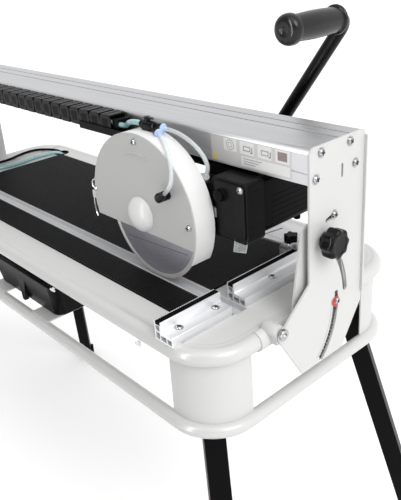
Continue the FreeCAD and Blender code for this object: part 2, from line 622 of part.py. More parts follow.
def motor():
    """Motor under the carriage: housing with switch box, stator, rotor and fan cover."""
    outer = [(-190, 88, 12), (-88, 88, 12), (-88, 170, 6), (-190, 170, 6)]
    housing = slab_y(outer, 58, 168)
    housing = housing.cut(rod(at(MOTOR_X, 62, MOTOR_Z), Y_AXIS, MOTOR_R, 110))
    housing = housing.cut(rod(at(MOTOR_X, 50, MOTOR_Z), Y_AXIS, 8.1, 30))
    for x, y in MOTOR_BOLTS:
        housing = housing.cut(rod(at(x, y, 158), Z_AXIS, 4.05, 20))
    housing = housing.cut(box((-89.5, -80), (66, 69), (80, 180)))
    housing = housing.fuse(box((-214, -190), (96, 150), (104, 148)))
    housing = housing.cut(box((-211.5, -192.5), (141, 160), (111.5, 140.5)))
    housing = housing.fuse(rod(at(-202, 84, 126), Y_AXIS, 7.0, 12))
    housing = housing.cut(rod(at(-212.9, 146, 126), X_AXIS, 1.6, 21.8))
    save("motor_housing", housing.removeSplitter())
    save("motor_stator", ring(at(MOTOR_X, 76, MOTOR_Z), Y_AXIS, MOTOR_R, 18.6, 70))
    rocker = box((-211.2, -192.8), (145, 152), (113, 139))
    rocker = rocker.common(rod(at(-220, 132, 126), X_AXIS, 20.0, 40))
    rocker = rocker.fuse(rod(at(-212.6, 146, 126), X_AXIS, 1.5, 21.2)).removeSplitter()
    save("switch_rocker", rocker)
    cover = slab_y([(-187, 91, 14), (-91, 91, 14), (-91, 168, 8), (-187, 168, 8)], 168, 204)
    cover = cover.cut(rod(at(MOTOR_X, 160, MOTOR_Z), Y_AXIS, 30, 38))
    for i in range(7):
        z = MOTOR_Z - 21 + 6 * i
        cover = cover.cut(box((MOTOR_X - 26, MOTOR_X + 26), (196, 210), (z, z + 3)))
    save("motor_fan_cover", cover)
    shaft = rod(at(MOTOR_X, 30, MOTOR_Z), Y_AXIS, 8.0, 160)
    rotor = rod(at(MOTOR_X, 78, MOTOR_Z), Y_AXIS, 18.0, 66)
    fan = rod(at(MOTOR_X, 174, MOTOR_Z), Y_AXIS, 25.0, 3)
    for i in range(8):
        blade = box((MOTOR_X - 0.8, MOTOR_X + 0.8), (176, 190), (MOTOR_Z + 7, MOTOR_Z + 25))
        blade.rotate(at(MOTOR_X, 170, MOTOR_Z), Y_AXIS, 45 * i)
        fan = fan.fuse(blade)
    pulley = ring(at(MOTOR_X, 30, MOTOR_Z), Y_AXIS, MOTOR_PULLEY_R, 8.0, 16)
    save("motor_rotor", [shaft.fuse(rotor).fuse(fan).removeSplitter(), pulley])


def drive():
    """Belt drive from the motor to the blade spindle, in its own case behind the guard."""
    spindle = at(BLADE_X, 0, BLADE_Z)
    motor_axis = at(MOTOR_X, 0, MOTOR_Z)
    case = obround(36.0, 40.0, 26, 58)
    case = case.fuse(slab_y([(-188, 89, 12), (-78, 89, 8), (-78, 176, 5), (-138, 176, 5), (-148, 160, 6),
                             (-188, 160, 12)], 26, 58))
    case = case.cut(obround(32.0, 36.0, 29, 55))
    case = case.fuse(rod(spindle + Y_AXIS * GUARD_BACK, Y_AXIS, 32.0, 6.0))
    case = case.fuse(rod(spindle + Y_AXIS * 46, Y_AXIS, 16.0, 12.0))
    case = case.cut(rod(spindle + Y_AXIS * 15, Y_AXIS, 14.0, 20))
    case = case.cut(rod(spindle + Y_AXIS * 40, Y_AXIS, 10.0 + FIT, 15))
    case = case.cut(rod(motor_axis + Y_AXIS * 50, Y_AXIS, 12.0, 20))
    save("drive_case", case.removeSplitter())
    outer = obround(MOTOR_PULLEY_R + 3.2, BLADE_PULLEY_R + 3.2, 31, 45)
    inner = obround(MOTOR_PULLEY_R + 0.1, BLADE_PULLEY_R + 0.1, 30, 46)
    save("drive_belt", outer.cut(inner))
    save("spindle_pulley", ring(spindle + Y_AXIS * 30, Y_AXIS, BLADE_PULLEY_R, 10.0, 15.5))
    shaft = rod(spindle + Y_AXIS * -4, Y_AXIS, 10.0, 58.5)
    save("blade_spindle", shaft.fuse(rod(spindle + Y_AXIS * -10, Y_AXIS, 6.0, 8.0)))


def obround(radius_motor, radius_blade, y0, y1):
    """The outline round both pulleys, extruded along Y."""
    spindle = Vec(BLADE_X, BLADE_Z, 0)
    motor_axis = Vec(MOTOR_X, MOTOR_Z, 0)
    along = motor_axis - spindle
    span = along.Length
    tilt = math.atan2(along.y, along.x)
    lean = math.acos((radius_blade - radius_motor) / span)
    first = Vec(math.cos(tilt + lean), math.sin(tilt + lean), 0)
    second = Vec(math.cos(tilt - lean), math.sin(tilt - lean), 0)
    unit = Vec(along).normalize()
    blade_arc = Part.Arc(spindle + first * radius_blade, spindle - unit * radius_blade,
                         spindle + second * radius_blade).toShape()
    motor_arc = Part.Arc(motor_axis + second * radius_motor, motor_axis + unit * radius_motor,
                         motor_axis + first * radius_motor).toShape()
    lower = Part.LineSegment(spindle + second * radius_blade, motor_axis + second * radius_motor).toShape()
    upper = Part.LineSegment(motor_axis + first * radius_motor, spindle + first * radius_blade).toShape()
    face = Part.Face(Part.Wire([blade_arc, lower, motor_arc, upper]))
    face.rotate(Vec(0, 0, 0), X_AXIS, 90)
    face.translate(at(0, y0, 0))
    return face.extrude(Y_AXIS * (y1 - y0))


def blade_set():
    """Continuous-rim diamond blade between two flanges, with its nut."""
    centre = at(BLADE_X, BLADE_Y, BLADE_Z)
    plate = rod(centre - Y_AXIS * 0.8, Y_AXIS, BLADE_R - 9, 1.6)
    rim = ring(centre - Y_AXIS * (BLADE_T / 2), Y_AXIS, BLADE_R, BLADE_R - 9, BLADE_T)
    blade = plate.fuse(rim).cut(rod(centre - Y_AXIS * 5, Y_AXIS, 10.0, 10))
    save("diamond_blade", blade.removeSplitter())
    inner = ring(centre + Y_AXIS * 0.8, Y_AXIS, 26.0, 10.0, 6.0)
    outer = ring(centre - Y_AXIS * 6.8, Y_AXIS, 26.0, 10.0, 6.0)
    nut = hexagon(centre - Y_AXIS * 12.2, Y_AXIS, 24, 5.2).cut(rod(centre - Y_AXIS * 14, Y_AXIS, 6.0, 10))
    save("blade_clamp", [inner, outer, nut])


GUARD_X = -252.0
GUARD_Z = 108.0
GUARD_R = 117.0
GUARD_FRONT = -17.0
GUARD_BACK = 20.0
GUARD_CHORD = 77.0


def guard_disc(radius, chord, y0, y1):
    """A disc about the guard's centre, kept above a level chord, between two Y limits."""
    disc = rod(at(GUARD_X, y0, GUARD_Z), Y_AXIS, radius, y1 - y0)
    return disc.common(box((GUARD_X - 200, GUARD_X + 200), (y0, y1), (chord, GUARD_Z + 200)))


def guard():
    """Blade guard: rear shell with rim and hooked tail, front cover, hub cap and latch."""
    wall = 1.5
    rim_front = GUARD_FRONT + 2
    shell = guard_disc(GUARD_R, GUARD_CHORD, rim_front, GUARD_BACK)
    tail = guard_disc(GUARD_R, 52.0, rim_front, GUARD_BACK)
    shell = shell.fuse(tail.common(box((GUARD_X + 80, GUARD_X + 200), (-60, 60), (0, 120))))
    shell = shell.cut(guard_disc(GUARD_R - wall, -200, rim_front - 1, GUARD_BACK - wall))
    shell = shell.cut(rod(at(BLADE_X, 0, BLADE_Z), Y_AXIS, 28.0, 60))
    lugs = box((-384, -366), (-13, -10), (98, 110)).fuse(box((-384, -366), (1, 4), (98, 110)))
    lugs = lugs.cut(guard_disc(GUARD_R, -200, -60, 60)).cut(rod(at(-379, -20, 104), Y_AXIS, 1.56, 40))
    shell = shell.fuse(lugs)
    save("guard_shell", shell.removeSplitter())
    lever = rod(at(-379, -9.7, 104), Y_AXIS, 3.2, 10.4)
    lever = lever.fuse(rod(at(-379, -13.3, 104), Y_AXIS, 1.5, 17.6))
    lever = lever.fuse(box((-381.5, -379.5), (-9.7, 0.7), (76, 104)))
    save("guard_latch", lever.removeSplitter())
    cover = guard_disc(GUARD_R, GUARD_CHORD, GUARD_FRONT, rim_front)
    cover = cover.cut(rod(at(GUARD_X, -60, 104), Y_AXIS, 20.0, 60))
    save("guard_cover", cover)
    cap = rod(at(GUARD_X, GUARD_FRONT - 14, 104), Y_AXIS, 27.0, 14)
    front = [e for e in cap.Edges if abs(e.BoundBox.YMax - (CUT + GUARD_FRONT - 14)) < 0.01]
    cap = cap.makeFillet(11.0, front)
    save("guard_hub_cap", cap.cut(rod(at(GUARD_X, GUARD_FRONT - 11.5, 104), Y_AXIS, 19.9, 12)))


# ---------------------------------------------------------------- water, lines and handle
HOSE_R = 4.0
LINE_R = 3.0
HEAD_HOSE = [(-348, 31, 212), (-334, 31, 212), (-318, 23, 219), (-300, 13, 227), (-280, 9, 232),
             (-262, 9, 232)]
FRONT_TUBE = [(-219, 4, 224.4), (-204, -1.5, 220.5), (-186, -11, 211), (-170, -20, 198), (-161, -27.5, 182),
              (-164, -31, 167), (-176, -32.5, 156.5)]
REAR_TUBE = [(-218.2, 13.4, 230.4), (-200, 16, 229), (-178, 18, 222), (-159, 20, 211), (-147, 22, 196),
             (-146, 24, 181), (-155, 26, 170)]
SUPPLY_HOSE = [(-600, 205, -64), (-600, 205, -46), (-628, 210, -32), (-690, 220, -28), (-760, 232, -31),
               (-830, 242, -30), (-890, 250, -33), (-928, 255, -28), (-939, 256, -14), (-942, 251, -2.0),
               (-948, 236, 3.6), (-956, 214, 1.2), (-960, 186, 1.2), (-951, 152, 1.2), (-947, 116, 1.2),
               (-955, 84, 1.2), (-980, 60, 2), (-1014, 42, 4.2), (-1044, 33, 10), (-1058, 28, 34),
               (-1059, 24, 74), (-1057, 23, 116), (-1058, 26, 154), (-1058, 30, 185.2)]
SUPPLY_CABLE = [(-622, 196, -64), (-622, 196, -48), (-650, 206, -40), (-710, 218, -42), (-780, 232, -41),
                (-850, 245, -42), (-905, 255, -44), (-938, 262, -38), (-950, 263, -22), (-952, 259, -6.0),
                (-960, 254, 1.6), (-984, 245, 1.6), (-1006, 226, 3.0), (-1013, 200, 3.0), (-1005, 168, 3.0),
                (-993, 138, 2.8), (-991, 108, 2.6), (-1003, 80, 3.0), (-1024, 60, 3.6), (-1044, 48, 10),
                (-1054, 43, 34), (-1057, 41, 74), (-1059, 43, 116), (-1058, 44, 154), (-1058, 44, 185.6)]


def line(name, points, radius):
    """A hose or cable through the given points; prints its radii and checks its volume."""
    solid, length, radii = route([at(*p) for p in points], radius)
    section = math.pi * radius ** 2
    print(name, "length", round(length, 1), "radii", [round(r, 1) for r in radii],
          "volume ratio", round(solid.Volume / (section * length), 4))
    return solid


def heading(points):
    """The direction in which a line leaves its last point."""
    return (at(*points[-1]) - at(*points[-2])).normalize()


def water_parts():
    """Tap and elbows on the guard, the tubes between them, and the supply lines."""
    save("head_hose", line("head_hose", HEAD_HOSE, HOSE_R))
    save("water_tubes", [line("front_tube", FRONT_TUBE, LINE_R), line("rear_tube", REAR_TUBE, LINE_R)])
    save("supply_hose", line("supply_hose", SUPPLY_HOSE, HOSE_R))
    save("supply_cable", line("supply_cable", SUPPLY_CABLE, LINE_R))

    body = rod(at(-262, 9, 232), X_AXIS, 7.0, 30)
    body = body.fuse(rod(at(-250, 9, 232), Z_AXIS, 5.0, 9))
    body = body.fuse(box((-258, -238), (2, 16), (224.5, 233)).cut(guard_disc(GUARD_R, -200, -60, 60)))
    for points in (FRONT_TUBE, REAR_TUBE):
        start = at(*points[0])
        out = (at(*points[1]) - start).normalize()
        body = body.fuse(rod(start - out * 17, out, 5.2, 17))
    fittings = [body.cut(guard_disc(GUARD_R, -200, -60, 60)).removeSplitter()]
    front = rod(at(*FRONT_TUBE[-1]), heading(FRONT_TUBE), 5.0, 14)
    front = front.fuse(rod(at(-186, GUARD_FRONT - 20, 150), Y_AXIS, 7.0, 20))
    fittings.append(front.removeSplitter())
    rear = rod(at(*REAR_TUBE[-1]), heading(REAR_TUBE), 5.0, 10)
    rear = rear.fuse(rod(at(-164, GUARD_BACK, 168), Y_AXIS, 6.0, 13))
    fittings.append(rear.cut(obround(40.0, 40.0, 26, 58)).removeSplitter())
    save("water_fittings", fittings)
    lever = rod(at(-250, 9, 241.3), Z_AXIS, 4.6, 3).fuse(box((-253, -234), (6, 12), (241.3, 244.3)))
    save("tap_lever", lever.removeSplitter())


def tub_parts():
    """Water tub on two cross straps, with its pump."""
    centre = -CUT
    low = 646.0 - TOP
    high = 714.0 - TOP
    shells = []
    for grow in (0.0, 2.5):
        bottom = tub_wire(109.0 - grow, 176.0 - grow, low + grow)
        top = tub_wire(116.0 - grow, 188.0 - grow, high + (grow > 0))
        shells.append(Part.makeLoft([bottom, top], True, True))
    tub = shells[0].cut(shells[1])
    rim = box((-END - 121, -END + 121), (centre - 193, centre + 193), (high - 3, high))
    tub = tub.fuse(rim.cut(box((-END - 113.6, -END + 113.6), (centre - 185.6, centre + 185.6), (high - 9, high + 1))))
    fin = slab_y([(-556, -56, 2), (-548, -119, 3), (-538, -119, 3), (-526, -56, 2)], -92, -84)
    tub = tub.fuse(fin.cut(shells[1]))
    tub = tub.fuse(rod(Vec(13, -150, 633), Z_AXIS, 13.0, 14.0))
    save("water_tub", tub.removeSplitter())
    strap = Part.makeBox(53, 2 * (FRAME_Y - 10), 3, Vec(52, -FRAME_Y + 10, LOWER_Z + LOWER_R))
    save("tub_straps", both_ends(strap))
    pump = rod(at(-606, 200, low + 2.6), Z_AXIS, 30.0, 32)
    pump = pump.fuse(rod(at(-600, 205, -80), Z_AXIS, 5.5, 16))
    pump = pump.fuse(rod(at(-622, 196, -80), Z_AXIS, 5.0, 16))
    for i in range(12):
        slit = box((-576, -570), (198.5, 201.5), (low + 6, low + 26))
        slit.rotate(at(-606, 200, 0), Z_AXIS, 30 * i)
        pump = pump.cut(slit)
    save("water_pump", pump.removeSplitter())


def tub_wire(half_x, half_y, level):
    """Rounded rectangle of the tub at one level."""
    radius = 18.0
    wire = rounded_loop([(-half_x, -half_y, radius), (half_x, -half_y, radius),
                         (half_x, half_y, radius), (-half_x, half_y, radius)])
    wire.translate(Vec(0, 0, TOP + level))
    return wire


def handle_bar(grow):
    """The bent handle bar: up and out behind the rail, then level towards the operator."""
    low = at(-245, 240, 138)
    knee = at(-92, 252, 352)
    tip = at(-92, 130, 352)
    out = (low - knee).normalize()
    level = (tip - knee).normalize()
    half = out.getAngle(level) / 2
    bend = 22.0
    back = bend / math.tan(half)
    first = knee + out * back
    last = knee + level * back
    mid = knee + (out + level).normalize() * (bend / math.sin(half) - bend)
    path = Part.Wire([Part.LineSegment(low, first).toShape(), Part.Arc(first, mid, last).toShape(),
                      Part.LineSegment(last, tip).toShape()])
    circle = Part.Wire([Part.makeCircle(10.4 + grow, low, (first - low).normalize())])
    return path.makePipeShell([circle], True, True)


def handle():
    """Feed handle: the bar and its rubber grip with a ball end."""
    save("handle_bar", handle_bar(0.0))
    grip = ring(at(-92, 130, 352), Y_AXIS, 18.5, 10.4, 96)
    grip = grip.fuse(rod(at(-92, 117, 352), Y_AXIS, 20.5, 13.0)).removeSplitter()
    end = [e for e in grip.Edges if abs(e.BoundBox.YMax - (CUT + 117)) < 0.01]
    grip = grip.makeFillet(7.0, end)
    save("handle_grip", grip)


if __name__ == "__main__":
    os.makedirs("parts", exist_ok=True)
    frame_loop(UPPER_R, UPPER_Z, "upper_tubes")
    frame_loop(LOWER_R, LOWER_Z, "lower_tubes")
    corner_panels()
    save("frame_screws", legs() + fences() + tube_studs())
    table_parts()
    mitre_guide()
    tub_parts()
    end_plates()
    pivots()
    rail()
    cable_chain()
    carriage()
    head_screws()
    motor()
    drive()
    blade_set()
    guard()
    water_parts()
    handle()
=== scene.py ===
import math
import bmesh
import bpy
from mathutils import Matrix, Vector


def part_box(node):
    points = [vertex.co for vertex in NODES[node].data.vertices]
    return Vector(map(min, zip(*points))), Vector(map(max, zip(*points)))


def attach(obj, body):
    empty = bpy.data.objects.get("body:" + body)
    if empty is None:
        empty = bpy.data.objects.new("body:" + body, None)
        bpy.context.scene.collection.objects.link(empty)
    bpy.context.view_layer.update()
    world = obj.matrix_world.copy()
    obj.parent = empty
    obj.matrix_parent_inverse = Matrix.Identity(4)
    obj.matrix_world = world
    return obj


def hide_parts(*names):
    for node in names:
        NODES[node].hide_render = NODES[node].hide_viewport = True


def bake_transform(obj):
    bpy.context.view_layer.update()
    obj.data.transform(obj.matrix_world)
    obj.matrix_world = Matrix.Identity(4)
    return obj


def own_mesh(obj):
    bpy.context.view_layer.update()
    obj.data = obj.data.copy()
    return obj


# Wet masonry saw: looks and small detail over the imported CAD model. Metres, +X along the rail,
# -Y towards the operator, +Z up. Helper "at" takes millimetres from the near end plate's outer
# face, the cut line and the table top, as the CAD does.

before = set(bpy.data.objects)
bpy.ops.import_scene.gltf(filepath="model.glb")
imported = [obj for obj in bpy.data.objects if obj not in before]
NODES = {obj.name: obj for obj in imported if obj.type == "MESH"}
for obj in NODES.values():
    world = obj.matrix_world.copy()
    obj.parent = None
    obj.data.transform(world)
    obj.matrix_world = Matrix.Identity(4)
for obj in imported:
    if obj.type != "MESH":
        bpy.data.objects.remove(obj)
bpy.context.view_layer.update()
SCENE = bpy.context.scene

X = Vector((1, 0, 0))
Y = Vector((0, 1, 0))
Z = Vector((0, 0, 1))
MM = 0.001
EVEN = (1, 1, 1)                  # a texture that is not stretched
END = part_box("near_end_plate")[1].x - 0.004
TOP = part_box("front_mat")[1].z
CUT = -0.091                      # the blade's line, across the table
LOOP_X, LOOP_Y = 0.524, 0.207     # half length and half width of the tube loops
LOOP_BEND = 0.075                 # their outer bend radius
BLADE = (-252, 3, 96)             # the blade's centre, for "at"
STUD_RADIUS, STUD_TURN = 131, 51.5  # tilt stud from the pivot, millimetres and degrees
TICK = 0.25                       # half width of a graduation, millimetres
CORNERS = ((1, 1, 0), (-1, 1, 90), (-1, -1, 180), (1, -1, 270))  # x side, y side, first angle


def at(dx, dy, dz):
    return Vector((END + dx * MM, CUT + dy * MM, TOP + dz * MM))


def end_point(y, z, sign):
    """A point on the outer face of the near (1) or far (-1) end plate."""
    place = at(0, y, z)
    return Vector((place.x * sign, place.y, place.z))


def circle(centre, u, v, radius, count):
    """Points round centre in the plane of u and v; radius in millimetres."""
    turns = [2 * math.pi * i / count for i in range(count)]
    return [centre + (u * math.cos(turn) + v * math.sin(turn)) * radius * MM for turn in turns]


# -------- camera
def make_camera():
    data = bpy.data.cameras.new("camera")
    data.lens = 47.07
    data.sensor_width = 36.0
    data.shift_x = 0.0202
    data.shift_y = -0.0592
    data.clip_end = 50.0
    cam = bpy.data.objects.new("camera", data)
    SCENE.collection.objects.link(cam)
    right = Vector((0.665, 0.7433, -0.0718)).normalized()
    back = Vector((0.7035, -0.5915, 0.3937)).normalized()
    up = back.cross(right).normalized()
    right = up.cross(back)
    place = Matrix((right, up, back)).transposed().to_4x4()
    place.translation = Vector((1.00796, -0.62116, 1.22540))
    cam.matrix_world = place
    SCENE.camera = cam


# -------- materials
def shader(name, color, rough, metallic=0.0, coat=0.0, alpha=1.0, spec=0.5):
    mat = bpy.data.materials.new(name)
    mat.use_nodes = True
    bsdf = mat.node_tree.nodes["Principled BSDF"]
    bsdf.inputs["Base Color"].default_value = (*color, 1.0)
    bsdf.inputs["Roughness"].default_value = rough
    bsdf.inputs["Metallic"].default_value = metallic
    bsdf.inputs["Coat Weight"].default_value = coat
    bsdf.inputs["Coat Roughness"].default_value = 0.12
    bsdf.inputs["Alpha"].default_value = alpha
    bsdf.inputs["Specular IOR Level"].default_value = spec
    mat.diffuse_color = (*color, 1.0)
    return mat, mat.node_tree, bsdf


def coords(tree, scale):
    """Object coordinates, stretched by scale."""
    source = tree.nodes.new("ShaderNodeTexCoord")
    mapping = tree.nodes.new("ShaderNodeMapping")
    mapping.inputs["Scale"].default_value = scale
    tree.links.new(source.outputs["Object"], mapping.inputs["Vector"])
    return mapping.outputs["Vector"]


def noise(tree, vector, scale, detail=4.0, rough=0.55):
    node = tree.nodes.new("ShaderNodeTexNoise")
    node.inputs["Scale"].default_value = scale
    node.inputs["Detail"].default_value = detail
    node.inputs["Roughness"].default_value = rough
    tree.links.new(vector, node.inputs["Vector"])
    return node.outputs["Fac"]


def spread(tree, value, low, high):
    """Remap a noise value to a range."""
    node = tree.nodes.new("ShaderNodeMapRange")
    node.inputs["From Min"].default_value = 0.3
    node.inputs["From Max"].default_value = 0.7
    node.inputs["To Min"].default_value = low
    node.inputs["To Max"].default_value = high
    tree.links.new(value, node.inputs["Value"])
    return node.outputs["Result"]


def vary_color(tree, bsdf, value, first, second):
    node = tree.nodes.new("ShaderNodeMix")
    node.data_type = "RGBA"
    node.inputs[6].default_value = (*first, 1.0)
    node.inputs[7].default_value = (*second, 1.0)
    tree.links.new(value, node.inputs["Factor"])
    tree.links.new(node.outputs[2], bsdf.inputs["Base Color"])


def add_bump(tree, bsdf, height, strength, distance):
    node = tree.nodes.new("ShaderNodeBump")
    node.inputs["Strength"].default_value = strength
    node.inputs["Distance"].default_value = distance
    tree.links.new(height, node.inputs["Height"])
    tree.links.new(node.outputs["Normal"], bsdf.inputs["Normal"])


def surface(name, color, rough, metallic=0.0, stretch=EVEN, grain=900.0, bump=0.15,
            distance=0.0001, tint=0.06, rough_spread=0.06, coat=0.0, blotch=18.0, spec=0.5):
    """A finish with fine grain in its relief, and slow changes in colour and roughness."""
    mat, tree, bsdf = shader(name, color, rough, metallic, coat, 1.0, spec)
    fine = noise(tree, coords(tree, stretch), grain, 3.0)
    slow = noise(tree, coords(tree, EVEN), blotch, 5.0)
    darker = tuple(max(0.0, c * (1 - tint)) for c in color)
    lighter = tuple(min(1.0, c * (1 + tint)) for c in color)
    vary_color(tree, bsdf, slow, darker, lighter)
    tree.links.new(spread(tree, fine, rough - rough_spread, rough + rough_spread),
                   bsdf.inputs["Roughness"])
    add_bump(tree, bsdf, fine, bump, distance)
    return mat


def rimmed_blade():
    """Ground steel disc, with turning marks about the blade's own centre."""
    mat, tree, bsdf = shader("blade_core", (0.40, 0.40, 0.45), 0.38, 0.5)
    source = tree.nodes.new("ShaderNodeTexCoord")
    shift = tree.nodes.new("ShaderNodeVectorMath")
    shift.operation = "DISTANCE"
    shift.inputs[1].default_value = at(*BLADE)
    tree.links.new(source.outputs["Object"], shift.inputs[0])
    wave = tree.nodes.new("ShaderNodeTexNoise")
    wave.noise_dimensions = "1D"
    wave.inputs["Scale"].default_value = 1400.0
    tree.links.new(shift.outputs["Value"], wave.inputs["W"])
    tree.links.new(spread(tree, wave.outputs["Fac"], 0.26, 0.44), bsdf.inputs["Roughness"])
    slow = noise(tree, source.outputs["Object"], 22.0, 4.0)
    vary_color(tree, bsdf, slow, (0.33, 0.33, 0.38), (0.43, 0.43, 0.48))
    add_bump(tree, bsdf, wave.outputs["Fac"], 0.08, 0.00006)
    return mat


def clear_plastic(name, color, rough, alpha):
    mat, tree, bsdf = shader(name, color, rough, 0.0, 0.2, alpha)
    slow = noise(tree, coords(tree, EVEN), 40.0, 3.0)
    tree.links.new(spread(tree, slow, rough - 0.04, rough + 0.08), bsdf.inputs["Roughness"])
    vary_color(tree, bsdf, slow, tuple(c * 0.94 for c in color), color)
    add_bump(tree, bsdf, slow, 0.03, 0.00008)
    return mat


# Finishes: material name, colour, roughness, metallic, stretch, grain, bump, bump distance, tint,
# roughness spread, coat, blotch, specular. Later values may be left to the defaults of "surface".
FINISHES = {
    "paint": ("powder_coat", (0.575, 0.575, 0.568), 0.42, 0.0, EVEN, 1100.0, 0.1, 0.00012, 0.02,
        0.05, 0.1, 5.0, 0.4),
    "guard": ("guard_paint", (0.46, 0.46, 0.455), 0.42, 0.0, EVEN, 1300.0, 0.1, 0.0001, 0.02, 0.05,
        0.1, 7.0, 0.4),
    "white": ("white_paint", (0.68, 0.68, 0.675), 0.36, 0.0, EVEN, 1200.0, 0.08, 0.0001, 0.02, 0.05,
        0.1, 6.0, 0.4),
    "black_paint": ("black_paint", (0.0025, 0.0025, 0.003), 0.4, 0.0, EVEN, 1000.0, 0.12, 0.00012,
        0.25, 0.07, 0.0, 12.0, 0.06),
    "bar_paint": ("bar_gloss_paint", (0.004, 0.004, 0.0048), 0.2, 0.0, EVEN, 1000.0, 0.06, 0.0001,
        0.25, 0.05, 0.0, 12.0, 0.16),
    "aluminium": ("rail_aluminium", (0.56, 0.563, 0.575), 0.4, 1.0, (0.012, 1, 1), 260.0, 0.1,
        0.00008, 0.05, 0.09, 0.0, 6.0),
    "aluminium_y": ("fence_aluminium", (0.84, 0.845, 0.86), 0.4, 0.6, (1, 0.012, 1), 260.0, 0.1,
        0.00008, 0.03, 0.08, 0.0, 6.0),
    "channel": ("channel_aluminium", (0.62, 0.625, 0.635), 0.42, 0.3, (0.012, 1, 1), 260.0, 0.1,
        0.00008, 0.04, 0.08, 0.0, 6.0),
    "tube_paint": ("tube_powder_coat", (0.56, 0.56, 0.553), 0.32, 0.0, EVEN, 1100.0, 0.06, 0.0001,
        0.02, 0.04, 0.3, 5.0),
    "cast": ("cast_aluminium", (0.3, 0.3, 0.31), 0.46, 0.8, EVEN, 700.0, 0.35, 0.0003, 0.1, 0.1,
        0.0, 30.0),
    "dark_cast": ("gear_case_black", (0.005, 0.005, 0.0055), 0.34, 0.0, EVEN, 700.0, 0.3, 0.00025,
        0.15, 0.08, 0.0, 30.0, 0.12),
    "zinc": ("zinc_plate", (0.46, 0.465, 0.475), 0.24, 1.0, EVEN, 1500.0, 0.1, 0.00005, 0.08, 0.08,
        0.0, 90.0),
    "chrome": ("chrome_plate", (0.55, 0.55, 0.56), 0.12, 1.0, EVEN, 1500.0, 0.04, 0.00004, 0.05,
        0.05, 0.0, 90.0),
    # Painted shade: a dark finish for the screw crosses, the plate behind the stop-screw slots and
    # the groove at the drive case.
    "painted_shade": ("painted_shade_dark", (0.03, 0.03, 0.03), 0.45, 0.6, EVEN, 900.0, 0.1),
    "rim": ("diamond_rim", (0.56, 0.545, 0.53), 0.42, 0.55, EVEN, 2600.0, 0.7, 0.0003, 0.16, 0.08,
        0.0, 600.0),
    "rib_top": ("mat_rib_top", (0.01, 0.01, 0.0105), 0.5, 0.0, EVEN, 1500.0, 0.3, 0.0002, 0.2, 0.08,
        0.0, 16.0, 0.12),
    "rubber": ("mat_rubber", (0.0025, 0.0025, 0.003), 0.62, 0.0, EVEN, 1500.0, 0.35, 0.0002, 0.25,
        0.08, 0.0, 16.0, 0.05),
    "grip": ("grip_rubber", (0.006, 0.006, 0.0068), 0.24, 0.0, (0.3, 0.02, 0.3), 900.0, 0.12,
        0.0001, 0.25, 0.06, 0.0, 40.0, 0.38),
    "plastic": ("black_plastic", (0.0025, 0.0025, 0.003), 0.42, 0.0, EVEN, 1900.0, 0.25, 0.00015,
        0.2, 0.07, 0.0, 30.0, 0.07),
    "gloss": ("gloss_plastic", (0.003, 0.003, 0.0035), 0.2, 0.0, EVEN, 900.0, 0.1, 0.0001, 0.2,
        0.05, 0.0, 20.0, 0.18),
    "tub": ("tub_plastic", (0.003, 0.003, 0.0035), 0.3, 0.0, EVEN, 700.0, 0.2, 0.0002, 0.2, 0.06,
        0.0, 20.0, 0.09),
    "chain": ("chain_plastic", (0.005, 0.005, 0.0055), 0.42, 0.0, EVEN, 1800.0, 0.2, 0.00015, 0.2,
        0.07, 0.0, 50.0, 0.16),
    "hose": ("water_hose", (0.3, 0.5, 0.53), 0.26, 0.0, EVEN, 260.0, 0.08, 0.0002, 0.1, 0.05, 0.3,
        60.0),
    "blue": ("blue_collet", (0.4, 0.55, 0.88), 0.34, 0.0, EVEN, 900.0, 0.1),
    "ribbed": ("grey_conduit", (0.34, 0.34, 0.35), 0.4, 0.1, EVEN, 900.0, 0.1),
    "red": ("red_pointer", (0.5, 0.015, 0.012), 0.35, 0.0, EVEN, 900.0, 0.1),
    "sticker": ("sticker_silver", (0.62, 0.61, 0.6), 0.32, 0.1, EVEN, 900.0, 0.03, 0.0001, 0.03,
        0.04, 0.2, 30.0),
    "paper": ("sticker_white", (0.8, 0.8, 0.79), 0.4, 0.0, EVEN, 900.0, 0.03, 0.0001, 0.03),
    "ink": ("ink_dark", (0.045, 0.045, 0.045), 0.5, 0.0, EVEN, 900.0, 0.03, 0.0001, 0.1),
    "ink_grey": ("ink_grey", (0.3, 0.3, 0.3), 0.5, 0.0, EVEN, 900.0, 0.03, 0.0001, 0.1),
    "brown": ("ink_brown", (0.27, 0.21, 0.2), 0.5, 0.0, EVEN, 900.0, 0.03, 0.0001, 0.1),
    "yellow": ("ink_yellow", (0.8, 0.62, 0.06), 0.5, 0.0, EVEN, 900.0, 0.03, 0.0001, 0.1),
    "scale": ("scale_strip", (0.022, 0.022, 0.023), 0.5, 0.0, EVEN, 900.0, 0.1, 0.0001, 0.3, 0.06,
        0.0, 300.0, 0.1),
    "copper": ("windings", (0.45, 0.2, 0.09), 0.4, 0.8, EVEN, 400.0, 0.4, 0.0004, 0.2),
}


def make_materials():
    m = {key: surface(*values) for key, values in FINISHES.items()}
    m["blade"] = rimmed_blade()
    m["clear"] = clear_plastic("clear_tube", (0.8, 0.84, 0.86), 0.1, 0.4)
    m["flap"] = clear_plastic("clear_flap", (0.7, 0.72, 0.72), 0.2, 0.34)
    return m


